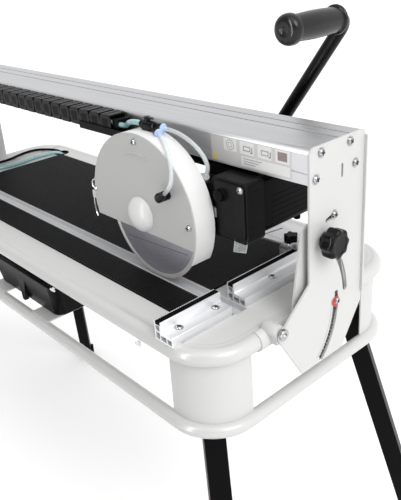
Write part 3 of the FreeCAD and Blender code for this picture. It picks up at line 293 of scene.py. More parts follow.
# -------- mesh helpers
class Build:
    """Collects vertices and faces of one piece, with a material slot per face."""

    def __init__(self, name):
        self.name = name
        self.verts = []
        self.faces = []
        self.slots = []
        self.mats = []

    def _slot(self, mat):
        if mat not in self.mats:
            self.mats.append(mat)
        return self.mats.index(mat)

    def add(self, verts, faces, mat):
        base = len(self.verts)
        slot = self._slot(mat)
        self.verts += [Vector(v) for v in verts]
        for face in faces:
            self.faces.append([base + i for i in face])
            self.slots.append(slot)

    def loft(self, rings, mat, closed=True, caps=True):
        """Quads between rings of equal length; closed rings and flat caps as asked."""
        count = len(rings[0])
        verts = [p for ring in rings for p in ring]
        faces = []
        for i in range(len(rings) - 1):
            for j in range(count if closed else count - 1):
                k = (j + 1) % count
                faces.append((i * count + j, i * count + k, (i + 1) * count + k,
                              (i + 1) * count + j))
        if caps:
            faces.append(tuple(reversed(range(count))))
            last = (len(rings) - 1) * count
            faces.append(tuple(last + j for j in range(count)))
        self.add(verts, faces, mat)

    def lathe(self, origin, axis, profile, mat, segments=48, caps=True):
        """profile is (radius, distance along axis) in millimetres."""
        u, v = sides(axis)
        rings = [circle(origin + axis * far * MM, u, v, radius, segments) for radius,
                 far in profile]
        self.loft(rings, mat, True, caps)

    def prism(self, points, direction, mat):
        """A flat outline pushed along direction."""
        ring = [Vector(p) for p in points]
        self.loft([ring, [p + direction for p in ring]], mat)

    def block(self, low, high, mat):
        x0, y0, z0 = low
        x1, y1, z1 = high
        ring = [Vector((x0, y0, z0)), Vector((x1, y0, z0)), Vector((x1, y1, z0)),
                Vector((x0, y1, z0))]
        self.prism(ring, Vector((0, 0, z1 - z0)), mat)

    def tube(self, points, radius, mat, segments=12, caps=True):
        """A round bar along a dense list of points."""
        rings = []
        side = None
        for i, p in enumerate(points):
            before = points[max(i - 1, 0)]
            after = points[min(i + 1, len(points) - 1)]
            heading = (after - before).normalized()
            if side is None:
                side = sides(heading)[0]
            side = (side - heading * side.dot(heading)).normalized()
            other = heading.cross(side)
            size = radius(i) if callable(radius) else radius
            rings.append(circle(p, side, other, size, segments))
        self.loft(rings, mat, True, caps)

    def done(self, body, replaces=(), bevel=0.0, smooth=True, slot=None, angle=35.0, blend=None,
             squash=None):
        """Make the piece: bake it in place when blend is given, else parent it to the empty of the
        body it rides on; then hide the CAD nodes it stands for.
        """
        mesh = bpy.data.meshes.new(self.name)
        mesh.from_pydata([tuple(v) for v in self.verts], [], self.faces)
        for mat in self.mats:
            mesh.materials.append(mat)
        for poly, index in zip(mesh.polygons, self.slots):
            poly.material_index = index
        obj = bpy.data.objects.new(self.name, mesh)
        SCENE.collection.objects.link(obj)
        tidy(mesh, angle if smooth else 0.0)
        if bevel > 0:
            soften(obj, bevel)
        if blend is not None:
            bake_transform(obj)
        elif squash is not None:
            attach(obj, body)
            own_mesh(obj)
        else:
            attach(obj, body)
        if replaces:
            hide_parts(*replaces)
        return obj


def sides(axis):
    """Two directions square to axis and to each other."""
    first = Z if abs(axis.z) < 0.9 else X
    u = (first - axis * first.dot(axis)).normalized()
    return u, axis.cross(u).normalized()


def tidy(mesh, angle):
    """Outward normals, and smooth shading up to a crease angle in degrees."""
    work = bmesh.new()
    work.from_mesh(mesh)
    bmesh.ops.recalc_face_normals(work, faces=work.faces)
    for face in work.faces:
        face.smooth = angle > 0
    for edge in work.edges:
        if len(edge.link_faces) == 2 and edge.calc_face_angle(0.0) > math.radians(angle):
            edge.smooth = False
    work.to_mesh(mesh)
    work.free()


def soften(obj, width, limit=38.0):
    """Small rounded edges."""
    mod = obj.modifiers.new("edge", "BEVEL")
    mod.width = width * MM
    mod.segments = 2
    mod.limit_method = "ANGLE"
    mod.angle_limit = math.radians(limit)
    mod.use_clamp_overlap = True
    mod.harden_normals = True
    mod.miter_outer = "MITER_ARC"


def arc_points(centre, u, v, radius, start, stop, count):
    """Points on an arc; angles in degrees from u towards v, radius in millimetres."""
    out = []
    for i in range(count + 1):
        turn = math.radians(start + (stop - start) * i / count)
        out.append(centre + (u * math.cos(turn) + v * math.sin(turn)) * radius * MM)
    return out


def arc_band(centre, u, v, inner, outer, start, stop, count):
    """Outline of a flat ring sector, between two radii."""
    return (arc_points(centre, u, v, outer, start, stop, count)
            + arc_points(centre, u, v, inner, start, stop, count)[::-1])


def along(points, step=10):
    """Points read from the NURBS spline that has the given control points."""
    data = bpy.data.curves.new("route", "CURVE")
    data.dimensions = "3D"
    data.resolution_u = step
    spline = data.splines.new("NURBS")
    spline.points.add(len(points) - 1)
    for item, p in zip(spline.points, points):
        item.co = (*p, 1.0)
    spline.order_u = 3
    spline.use_endpoint_u = True
    obj = bpy.data.objects.new("route", data)
    mesh = bpy.data.meshes.new_from_object(obj)
    out = [v.co.copy() for v in mesh.vertices]
    bpy.data.objects.remove(obj)
    bpy.data.curves.remove(data)
    bpy.data.meshes.remove(mesh)
    return out


def paint_node(name, mat, bevel=0.0):
    """Give a kept CAD node its material and small rounded edges."""
    obj = NODES[name]
    obj.data.materials.clear()
    obj.data.materials.append(mat)
    for poly in obj.data.polygons:
        poly.material_index = 0
    if bevel > 0:
        weld = obj.modifiers.new("weld", "WELD")
        weld.merge_threshold = 0.00001
        flat = obj.modifiers.new("flat", "DECIMATE")
        flat.decimate_type = "DISSOLVE"
        flat.angle_limit = math.radians(0.6)
        soften(obj, bevel, 30.0)


# -------- screws and knobs
def pan_head(build, place, axis, radius, height, mat, dark, twist=0.0):
    """Domed screw head; the shade in its Phillips cross is painted, as a dark sunk cross."""
    profile = [(radius * 0.98, 0.0), (radius, 0.25 * height), (radius * 0.93, 0.55 * height),
               (radius * 0.78, 0.80 * height), (radius * 0.52, 0.95 * height), (0.05, height)]
    build.lathe(place, axis, profile, mat, 28)
    u, v = sides(axis)
    turn = Matrix.Rotation(twist, 3, axis)
    u = turn @ u
    v = turn @ v
    long = radius * 0.66 * MM
    wide = radius * 0.18 * MM
    top = place + axis * height * 1.02 * MM
    # The cross: two thin dark blocks of painted shade across the top of the head.
    for a, b in ((u, v), (v, u)):
        ring = [top + a * long + b * wide, top - a * long + b * wide, top - a * long - b * wide,
                top + a * long - b * wide]
        build.loft([[p - axis * 0.25 * height * MM for p in ring], ring], dark)


def washer(build, place, axis, outer, inner, thick, mat):
    build.lathe(place, axis, [(inner, 0), (outer, 0), (outer, thick), (inner, thick), (inner, 0)],
                mat, 32, False)


def hex_head(build, place, axis, across, height, mat):
    corner = across / math.sqrt(3)
    u, v = sides(axis)
    rings = [circle(place + axis * level * MM, u, v, size, 6)
             for size, level in ((corner, 0), (corner, height * 0.82), (corner * 0.9, height))]
    build.loft(rings, mat)


def star_knob(name, body, node, sign, m):
    """Lobed clamping knob with a dished face, hub and washer."""
    turn = math.radians(STUD_TURN)
    centre = end_point(STUD_RADIUS * math.cos(turn), STUD_RADIUS * math.sin(turn), sign)
    axis = X * sign
    build = Build(name)
    rings = []
    levels = ((8.0, 0.84), (8.6, 0.91), (10.0, 0.97), (12.5, 1.0), (22.5, 1.0), (24.6, 0.975),
              (26.0, 0.93),
              (26.8, 0.86), (27.0, 0.78))
    count = 160
    for along_x, scale in levels:
        ring = []
        for i in range(count):
            angle = 2 * math.pi * i / count
            dip = (0.5 - 0.5 * math.cos(8 * angle)) ** 0.8
            radius = (20.8 - 2.5 * dip) * scale
            out = Y * math.cos(angle) + Z * math.sin(angle)
            ring.append(centre + axis * along_x * MM + out * radius * MM)
        rings.append(ring)
    inner = [circle(centre + axis * along_x * MM, Y, Z, radius, count)
             for along_x, radius in ((26.9, 12.5), (26.2, 11.6), (25.9, 5.0))]
    build.loft(rings + inner, m["gloss"])
    build.lathe(centre + axis * 2.4 * MM, axis, [(10.5, 0), (10.5, 4.0), (11.5, 5.4), (12.5, 6.2)],
                m["plastic"])
    build.lathe(centre + axis * 0.4 * MM, axis, [(10.4, 0), (11.0, 0.3), (11.0, 1.7), (10.4, 2.0)],
                m["zinc"])
    build.lathe(centre - axis * 19.4 * MM, axis, [(3.4, 0), (4.0, 0.6), (4.0, 21)], m["zinc"])
    build.done(body, (node,), slot="black_plastic")


def end_screws(m):
    """Rail screws, stop screws and their washers at both ends."""
    build = Build("end_plate_screw_heads")
    spots = [(66.0, 188.5), (76.0, 220.0), (134.0, 220.0), (146.0, 188.5), (103.5, 130.1)]
    for sign in (1, -1):
        for k, (y, z) in enumerate(spots):
            place = end_point(y, z, sign)
            axis = X * sign
            washer(build, place, axis, 6.6, 3.0, 0.7, m["zinc"])
            pan_head(build, place + axis * 0.7 * MM, axis, 5.0, 2.9, m["zinc"], m["painted_shade"],
                     0.4 + k)
            if k < 4:
                build.lathe(place - axis * 20 * MM, axis, [(2.6, 0), (3.0, 0.5), (3.0, 20)],
                            m["zinc"], 20)
            else:
                build.lathe(place - axis * 5 * MM, axis, [(2.4, 0), (2.6, 0.4), (2.6, 5)],
                            m["zinc"], 20)
    build.done("rail", ("end_plate_screws",), slot="zinc")


def guard_screw_heads(m):
    build = Build("head_screw_set")
    for k, (x, z) in enumerate(((-252.0, 213.0), (-147.0, 111.0))):
        place = at(x, -17, z)
        washer(build, place, -Y, 6.2, 2.0, 0.6, m["zinc"])
        pan_head(build, place - Y * 0.6 * MM, -Y, 4.8, 2.6, m["zinc"], m["painted_shade"], 0.5 + k)
    for x, y in ((-172.0, 78.0), (-104.0, 78.0), (-172.0, 158.0), (-104.0, 158.0)):
        hex_head(build, at(x, y, 176), Z, 10, 4, m["zinc"])
        build.lathe(at(x, y, 160), Z, [(3.6, 0), (4.0, 0.5), (4.0, 16)], m["zinc"], 24)
    build.done("carriage", ("head_screws",), slot="zinc")


def frame_screw_set(m):
    """Fence screws, leg clamp bolts and tube studs."""
    build = Build("frame_screw_set")
    for k, y in enumerate((-88.0, -23.0, 91.0, 200.0)):
        place = at(-97, y, 9.9)
        washer(build, place, Z, 5.9, 2.5, 0.6, m["zinc"])
        pan_head(build, place + Z * 0.6 * MM, Z, 4.8, 2.7, m["zinc"], m["painted_shade"], 0.7 * k)
        build.lathe(at(-97, y, -3), Z, [(2.4, 0), (2.5, 0.4), (2.5, 13)], m["zinc"], 20)
    down = Vector((0.242, 0.166, -1.0))
    hub = Vector((0.470, 0.1585, TOP - 0.127))
    line = down.normalized()
    across = line.cross(Z).normalized()
    inward = line.cross(across).normalized()
    if inward.x > 0:
        inward = -inward
    for sx in (1, -1):
        for sy in (1, -1):
            flip = Matrix.Diagonal((sx, sy, 1))
            grip = flip @ (hub - down * 0.045)
            axis = (flip @ inward).normalized()
            build.lathe(grip + axis * 15.1 * MM, axis, [(3.6, 0), (4.0, 0.4), (4.0, 6)], m["zinc"],
                        20)
            hex_head(build, grip + axis * 19.7 * MM, axis, 13, 6, m["zinc"])
    for x in (164.0, 386.0):
        for sx in (1, -1):
            for sy in (1, -1):
                start = Vector((x * sx * MM, (LOOP_Y - 0.0125 + 0.008) * sy, TOP - 0.013 - 0.0098))
                axis = Vector((0, 0.75 * sy, -0.66)).normalized()
                build.lathe(start + axis * 1.0 * MM, axis,
                            [(2.5, 0), (2.5, 3.2), (4.6, 3.2), (5.0, 3.8),
                                                           (4.6, 5.6), (2.4, 6.4)], m["white"], 24)
    build.done("frame", ("frame_screws",), slot="zinc")


def pointer_set(m):
    """Angle pointer bolts with their red hands."""
    build = Build("angle_pointer_set")
    for sign in (1, -1):
        place = end_point(112, 0, sign)
        axis = X * sign
        disc = circle(place + axis * 0.32 * MM - Y * 2.6 * MM, Y, Z, 7.6, 40)
        build.prism(disc, axis * 0.5 * MM, m["red"])
        washer(build, place + axis * 0.82 * MM, axis, 5.0, 3.0, 0.4, m["zinc"])
        pan_head(build, place + axis * 1.2 * MM, axis, 4.2, 2.5, m["zinc"], m["painted_shade"], 0.3)
        build.lathe(place - axis * 18 * MM, axis, [(2.7, 0), (3.0, 0.5), (3.0, 18.4)], m["zinc"],
                    20)
    build.done("frame", ("angle_pointers",), slot="zinc")


# -------- table
def bend_centre(sx, sy, z):
    """Centre of a tube loop's corner bend."""
    return Vector(((LOOP_X - LOOP_BEND) * sx, (LOOP_Y - LOOP_BEND) * sy, z))


def tube_loops(m):
    """The two bent tube loops, each one smooth round bar."""
    for name, node, radius, level in (("upper_loop", "upper_tubes", 12.5, -13),
                                      ("lower_loop", "lower_tubes", 10.0, -127)):
        bend = LOOP_BEND / MM - radius
        z = TOP + level * MM
        points = []
        for sx, sy, start in CORNERS:
            points += arc_points(bend_centre(sx, sy, z), X, Y, bend, start, start + 90, 20)
        build = Build(name)
        rings = []
        for i, p in enumerate(points):
            heading = (points[(i + 1) % len(points)] - points[i - 1]).normalized()
            out = heading.cross(Z)
            rings.append(circle(p, out, Z, radius, 40))
        rings.append(rings[0])
        build.loft(rings, m["tube_paint"], True, False)
        build.done("frame", (node,), slot="powder_coat")


def seam_strips(m):
    """Paint fillets over the seam between the table sheet and the upper tube."""
    reach = 62.5
    deck_edge = END - 0.079
    low_profile = ((12.4, -3.0), (12.2, -2.94), (9.6, -2.84), (7.8, -2.55), (6.2, -2.12),
                   (7.2, -3.4), (8.8, -4.6))
    high_profile = ((10.6, -0.55), (10.4, -0.46), (7.0, -0.50), (4.6, -0.66), (3.0, -0.82),
                    (6.0, -3.0), (9.2, -4.8))
    arcs = {}
    for sx, sy, start in CORNERS:
        centre = bend_centre(sx, sy, TOP - 0.013)
        arcs[sx, sy] = [(centre, math.radians(start + 90 * i / 45)) for i in range(46)]

    def runs(order, keep):
        rings = []
        for key in order:
            for centre, turn in arcs[key]:
                out = X * math.cos(turn) + Y * math.sin(turn)
                place = centre + out * reach * MM
                if keep(abs(place.x)):
                    rings.append((place, out))
        return rings

    build = Build("deck_seam_fillets")
    for order, keep, profile in (
            (((1, 1), (-1, 1)), lambda x: x <= deck_edge, low_profile),
            (((-1, -1), (1, -1)), lambda x: x <= deck_edge, low_profile),
            (((1, -1), (1, 1)), lambda x: x >= deck_edge, high_profile),
            (((-1, 1), (-1, -1)), lambda x: x >= deck_edge, high_profile)):
        rings = [[place - out * inward * MM + Z * (level + 13) * MM for inward, level in profile]
                 for place, out in runs(order, keep)]
        build.loft(rings, m["tube_paint"])
    build.done("frame", slot="powder_coat", angle=50)


def ribbed_mat(name, node, m):
    """Black rubber mat with fine rounded ribs along the table, and a lighter colour on the flat rib
    tops.
    """
    low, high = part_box(node)
    pitch = 0.0033
    count = int((high.y - low.y - 0.004) / pitch)
    start = (low.y + high.y - count * pitch) / 2
    line = [(low.y, low.z), (low.y, high.z - 0.0004), (low.y + 0.0004, high.z)]
    for i in range(count):
        base = start + i * pitch
        for share, height in ((0.0, 0.0), (0.10, -0.9), (0.40, -0.9), (0.50, 0.0), (0.75, 0.0)):
            line.append((base + share * pitch, high.z + height * MM))
    line += [(high.y - 0.0004, high.z), (high.y, high.z - 0.0004), (high.y, low.z)]
    build = Build(name)
    build.loft([[Vector((low.x, y, z)) for y, z in line],
                [Vector((high.x, y, z)) for y, z in line]], m["rubber"])
    top = build._slot(m["rib_top"])
    for i, face in enumerate(build.faces):
        if len(face) == 4 and all(build.verts[v].z > high.z - 0.00002 for v in face):
            build.slots[i] = top
    build.done("frame", (node,), slot="rubber", angle=25.0)


def fence_pads(m):
    """Ribbed rubber strips in the fences' top grooves."""
    build = Build("fence_pads")
    for y0, y1 in ((-112.0, -7.0), (19.0, 236.0)):
        low = at(-115.1, y0, 20)
        high = at(-105.7, y1, 24.9)
        count = int((high.y - low.y) / 0.0035)
        line = [(low.y, low.z), (low.y, high.z)]
        for i in range(count):
            base = low.y + 0.0008 + i * 0.0035
            line += [(base, high.z), (base + 0.0006, high.z - 0.0007),
                     (base + 0.0014, high.z - 0.0007),
                     (base + 0.002, high.z)]
        line += [(high.y, high.z), (high.y, low.z)]
        build.loft([[Vector((low.x, y, z)) for y, z in line],
                    [Vector((high.x, y, z)) for y, z in line]], m["rubber"])
    build.done("frame", ("fence_rubbers",), slot="rubber", smooth=False)


def tick(build, centre, axis, degrees, reach, levels, mat):
    """One graduation of a round scale, between two radii and two levels."""
    turn = math.radians(degrees)
    out = Y * math.cos(turn) + Z * math.sin(turn)
    other = Y * -math.sin(turn) + Z * math.cos(turn)
    low, high = reach
    ring = [centre + out * r * MM + other * w * MM
            for r, w in ((low, -TICK), (high, -TICK), (high, TICK), (low, TICK))]
    build.loft([[p + axis * level * MM for p in ring] for level in levels], mat)


def table_trim(m):
    """Angle scales at both ends, and graduations on the mitre plate."""
    build = Build("angle_scale_marks")
    strip = Build("angle_scale_strip")
    for sign in (1, -1):
        centre = end_point(0, 0, sign)
        axis = X * sign
        line = arc_band(centre, Y, Z, 100.0, 101.0, 4, -46, 24)
        build.prism(line, axis * 0.12 * MM, m["zinc"])
        band = arc_band(centre, Y, Z, 104.6, 108.3, 2, -45, 30)
        build.prism(band, axis * 0.12 * MM, m["scale"])
        back = centre - axis * 3.12 * MM
        strip.prism(arc_band(back, Y, Z, 108.6, 115.4, 6, -46, 30), axis * 0.1 * MM, m["scale"])
        for i in range(19):
            odd = i % 2
            tick(build, centre, axis, -2.5 * i, (105.2, 107.8 if odd else 106.6), (0.12, 0.2),
                 m["paper"])
            tick(strip, back, axis, 4 - 2.5 * i, (109.2 if odd else 110.4, 114.6), (0.1, 0.2),
                 m["paper"])
        # A dark plate behind the upper stop-screw slot: painted shade for the shadow seen through the
        # slot.
        slot_shade_backing = [centre - axis * 4.0 * MM + Y * y * MM + Z * z * MM
                     for y, z in ((84, 118), (109, 118), (109, 137), (84, 137))]
        build.prism(slot_shade_backing, axis * 1.0 * MM, m["painted_shade"])
    build.done("rail", slot="powder_coat", smooth=False)
    strip.done("rail", slot="zinc", smooth=False)
    marks = Build("mitre_plate_marks")
    for i in range(14):
        x = -186 + i * 4.4
        size = 7 if i % 5 == 0 else 4
        low = at(x, 160, 31.5)
        marks.block(low, low + Vector((0.0006, size * MM, 0.00012)), m["ink"])
    marks.done("mitre", smooth=False)


# -------- guard and blade
def blade(m):
    build = Build("blade_disc")
    centre = at(*BLADE)
    build.lathe(centre, Y, [(10.0, -0.8), (93.4, -0.8), (93.8, -0.6), (93.8, 0.6), (93.4, 0.8),
                            (10.0, 0.8),
                            (10.0, -0.8)], m["blade"], 180, False)
    build.lathe(centre, Y, [(93.2, -0.9), (93.7, -1.1), (99.6, -1.1), (100.0, -0.8), (100.0, 0.8),
                            (99.6, 1.1),
                            (93.7, 1.1), (93.2, 0.9), (93.2, -0.9)], m["rim"], 180, False)
    for side in (-1, 1):
        for r0, r1 in ((84.2, 84.8), (30.0, 30.6)):
            build.lathe(centre, Y, [(r0, 0.8 * side), (r0, 0.84 * side), (r1, 0.84 * side),
                                    (r1, 0.8 * side)],
                        m["ink_grey"], 120, False)
    first = at(-320, 2.2, 45.1)
    second = at(-177, 2.2, 53.5)
    up = Z * 0.45 * MM
    line = [first - up, second - up, second + up, first + up]
    build.prism(line, -Y * 0.04 * MM, m["ink"])
    build.done("blade", ("diamond_blade",), slot="blade_steel")


def hub_cap(m):
    build = Build("guard_dome")
    centre = at(-252, -17, 104)
    profile = [(27.0, 0.0), (27.0, 0.8), (26.6, 2.2), (25.4, 4.4), (23.2, 6.9), (20.0, 9.3),
               (16.0, 11.4),
               (11.0, 13.0), (5.5, 13.8), (0.05, 14.0)]
    build.lathe(centre, -Y, profile, m["white"], 64)
    build.done("carriage", ("guard_hub_cap",), slot="powder_coat", angle=60.0)


def guard_trim(m):
    """Embossed turning arrow on the guard."""
    build = Build("guard_arrow")
    centre = at(-252, -17, 108)
    tip, heel = 70.0, 77.5
    # The arrow's outer lip, the thin band from radius 89 to 89.7, is in the lighter white paint: a
    # painted highlight along its raised edge.
    for r0, r1, raised in ((86.6, 89.0, 0.9), (89.0, 89.7, 1.1)):
        ring = arc_band(centre, X, Z, r0, r1, 106, heel, 20)
        build.prism(ring, -Y * raised * MM, m["guard"] if raised < 1 else m["white"])
    head = [arc_points(centre, X, Z, radius, turn, turn, 1)[0]
            for radius, turn in ((88.0, tip), (92.6, heel), (83.6, heel))]
    build.prism(head, -Y * 0.9 * MM, m["guard"])
    build.done("carriage", bevel=0.25, slot="powder_coat")


def latch(m):
    """Toggle latch: lever, pin and wire bail, with a coil spring round the pin."""
    build = Build("guard_toggle_latch")
    build.lathe(at(-379, -13.3, 104), Y, [(1.2, 0), (1.5, 0.3), (1.5, 17.3), (1.2, 17.6)],
                m["chrome"], 24)
    turns = []
    for i in range(121):
        turn = 2 * math.pi * 5 * i / 120
        turns.append(at(-379, -9.0 + 9.0 * i / 120, 104)
                     + (X * math.cos(turn) + Z * math.sin(turn)) * 2.5 * MM)
    build.tube(turns, 0.7, m["chrome"], 8)
    plate = [at(-381.4, -9.5, 103), at(-381.4, 0.5, 103), at(-381.6, 0.5, 82), at(-381.6, -2, 78),
             at(-381.6, -7, 78), at(-381.6, -9.5, 82)]
    build.prism(plate, X * 1.4 * MM, m["chrome"])
    bail = [at(-380.4, -8.5, 98), at(-380.6, -8.5, 88), at(-380.4, -8.0, 80), at(-380.2, -4.5, 77),
            at(-380.4, -1.0, 80), at(-380.6, -0.5, 88), at(-380.4, -0.5, 98)]
    build.tube(along(bail, 8), 0.9, m["chrome"], 10)
    build.done("latch", ("guard_latch",), bevel=0.2, slot="chrome")
    hasp = Build("guard_latch_hasp")
    for y in (-13.4, 4.6):
        hasp.tube(arc_points(at(-371.5, y, 122), Z, X, 8.2, -165, 165, 28), 1.5, m["chrome"], 12)
    link = [at(-374, -12.9, 129), at(-377.8, -9, 131.5), at(-377.4, -4.5, 132.5),
            at(-377.8, 0, 131.5),
            at(-374, 4.1, 129)]
    hasp.tube(along(link, 8), 1.3, m["chrome"], 10)
    for z in (114, 126):
        hasp.lathe(at(-369.5, -4.5, z), -X, [(3.2, 0), (3.2, 1.0), (2.4, 2.0), (0.1, 2.3)],
                   m["chrome"], 20)
    hasp.lathe(at(-366, -17.2, 118), -Y, [(4.0, 0), (4.0, 1.2), (3.0, 2.0), (0.1, 2.3)],
               m["chrome"], 24)
    wire = [at(-379, -12.9, 103), at(-380.5, -13.6, 94), at(-378, -14.6, 82), at(-374, -15.4, 74),
            at(-371, -16.4, 70)]
    hasp.tube(along(wire, 8), 1.1, m["chrome"], 10)
    hasp.done("carriage", slot="chrome")


# -------- chain and water lines
def chain(m):
    """Cable chain: per link two side plates with pivots, and ribbed cross bars."""
    low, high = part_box("cable_chain")
    count = 23
    pitch = (high.x - low.x + 0.001) / count
    build = Build("cable_chain_links")
    mid = (low.z + high.z) / 2
    tall = high.z - low.z
    dark = m["chain"]
    for i in range(count):
        x0 = low.x + i * pitch
        x1 = x0 + pitch - 0.001
        for face, depth in ((low.y, 0.0022), (high.y, -0.0022)):
            inset = 0.0005 if i % 2 else 0.0
            y0 = face + (inset if depth > 0 else -inset)
            outline = []
            for middle, first in ((x0 + 0.0052, 90), (x1 - 0.0052, -90)):
                for j in range(9):
                    turn = math.radians(first + 180 * j / 8)
                    outline.append((middle + math.cos(turn) * 0.0052,
                                    mid + math.sin(turn) * tall * 0.5))
            build.prism([Vector((x, y0, z)) for x, z in outline], Y * depth * 0.7, dark)
            inward = 0.0001 if depth < 0 else -0.0001
            # A darker, duller panel in the middle of each side plate: painted shade where the link
            # has its window.
            window_shade = [Vector((x, y0, z)) + Y * inward
                     for x, z in ((x0 + 0.007, mid - tall * 0.28), (x1 - 0.007, mid - tall * 0.28),
                                  (x1 - 0.007, mid + tall * 0.28), (x0 + 0.007, mid + tall * 0.28))]
            build.prism(window_shade, Y * depth * 0.15, m["plastic"])
            pin = Vector((x0 + 0.0045, y0, mid))
            build.lathe(pin, Y * (-1 if depth > 0 else 1),
                        [(4.2, -0.5), (4.2, 0.0), (3.6, 0.35), (1.2, 0.4)], dark, 18)
        for z0, z1 in ((high.z - 0.0024, high.z), (low.z, low.z + 0.0024)):
            for near, far, front, rear, trim in (
                    (x0 + 0.0045, x0 + 0.0125, low.y + 0.0012, high.y - 0.0012, 0.0),
                    (x0 + 0.0155, x1 - 0.0015, low.y + 0.0012, high.y - 0.0012, 0.0),
                    (x0 + 0.0035, x1, low.y + 0.004, low.y + 0.008, 0.0004),
                    (x0 + 0.0035, x1, high.y - 0.008, high.y - 0.004, 0.0004)):
                build.block((near, front, z0 + trim), (far, rear, z1 - trim), dark)
    inside = Build("chain_inner_lines")
    for y, radius, mat, segments in ((low.y + 0.010, 4.0, m["hose"], 16),
                                     (high.y - 0.010, 3.0, m["plastic"], 14)):
        inside.tube([Vector((low.x + 0.002, y, mid)), Vector((high.x - 0.002, y, mid))], radius,
                    mat,
                    segments)
    for part, nodes in ((build, ("cable_chain",)), (inside, ())):
        part.done("rail", nodes, slot="black_plastic",
                  squash={"joint": "carriage_slide", "axis": (1, 0, 0), "anchor": tuple(low),
                          "keep": 0.138})


HEAD_HOSE = [(-348, 31, 212), (-334, 31, 212), (-318, 23, 219), (-300, 13, 227), (-280, 9, 232),
             (-262, 9, 232)]
FRONT_TUBE = [(-219, 4, 224.4), (-204, -1.5, 220.5), (-186, -11, 211), (-170, -20, 198),
              (-161, -27.5, 182),
              (-164, -31, 167), (-176, -32.5, 156.5)]
REAR_TUBE = [(-218.2, 13.4, 230.4), (-200, 16, 229), (-178, 18, 222), (-159, 20, 211),
             (-147, 22, 196),
             (-146, 24, 181), (-155, 26, 170)]
SUPPLY_HOSE = [(-600, 205, -64), (-600, 205, -46), (-628, 210, -32), (-690, 220, -28),
               (-760, 232, -31),
               (-830, 242, -30), (-890, 250, -33), (-928, 255, -28), (-939, 256, -14),
               (-942, 251, -2.0),
               (-948, 236, 3.6), (-956, 214, 1.2), (-960, 186, 1.2), (-951, 152, 1.2),
               (-947, 116, 1.2),
               (-955, 84, 1.2), (-980, 60, 2), (-1014, 42, 4.2), (-1044, 33, 10), (-1058, 28, 34),
               (-1059, 24, 74), (-1057, 23, 116), (-1058, 26, 154), (-1058, 30, 185.2)]
SUPPLY_CABLE = [(-622, 196, -64), (-622, 196, -48), (-650, 206, -40), (-710, 218, -42),
                (-780, 232, -41),
                (-850, 245, -42), (-905, 255, -44), (-938, 262, -38), (-950, 263, -22),
                (-952, 259, -6.0),
                (-960, 254, 1.6), (-984, 245, 1.6), (-1006, 226, 3.0), (-1013, 200, 3.0),
                (-1005, 168, 3.0),
                (-993, 138, 2.8), (-991, 108, 2.6), (-1003, 80, 3.0), (-1024, 60, 3.6),
                (-1044, 48, 10),
                (-1054, 43, 34), (-1057, 41, 74), (-1059, 43, 116), (-1058, 44, 154),
                (-1058, 44, 185.6)]


def flexible_line(name, node, body, points, radius, mat, slot, blend=None):
    """One flexible line between two fixed ends."""
    path = along([at(*p) for p in points])
    line = Build(name)
    line.tube(path, radius, mat, 20)
    obj = line.done(body, (node,), slot=slot, angle=60, blend=blend)


def water_lines(m):
    bend = ("frame", "rail", tuple(at(-1058, 30, 20)), tuple(at(-1058, 30, 180)))
    flexible_line("head_hose_line", "head_hose", "carriage", HEAD_HOSE, 4.0, m["hose"], "hose")
    flexible_line("front_clear_tube", "water_tubes", "carriage", FRONT_TUBE, 3.0, m["clear"],
                  "clear_tube")
    flexible_line("rear_clear_tube", "water_tubes", "carriage", REAR_TUBE, 3.0, m["clear"],
                  "clear_tube")
    flexible_line("supply_hose_line", "supply_hose", "frame", SUPPLY_HOSE, 4.0, m["hose"], "hose",
                  bend)
    flexible_line("supply_cable_line", "supply_cable", "frame", SUPPLY_CABLE, 3.0, m["plastic"],
                  "black_plastic",
                  bend)
    grommet = Build("hose_grommet")
    grommet.lathe(at(-946, 255, -5.4), Z, [(14.8, 0), (14.8, 2.3), (17.5, 2.5), (17.2, 3.6),
                                           (15.0, 4.2), (13.0, 3.8),
                                          (12.4, 2.0), (12.6, -1.6), (16.6, -1.8), (16.6, 0.0),
                                          (14.8, 0)],
                  m["rubber"], 40, False)
    grommet.done("frame", slot="rubber")
    tie = Build("cable_tie")
    turns = [2 * math.pi * i / 28 for i in range(28)]
    ring, outer = ([at(-1057.5 + rx * math.cos(turn), 33 + ry * math.sin(turn),
                       60) for turn in turns]
                   for rx, ry in ((5.4, 14.5), (6.4, 15.5)))
    height = Z * 4 * MM
    tie.loft([ring, outer, [p + height for p in outer], [p + height for p in ring], ring],
             m["paper"],
             True, False)
    tie.done("frame", slot="hose", blend=bend)


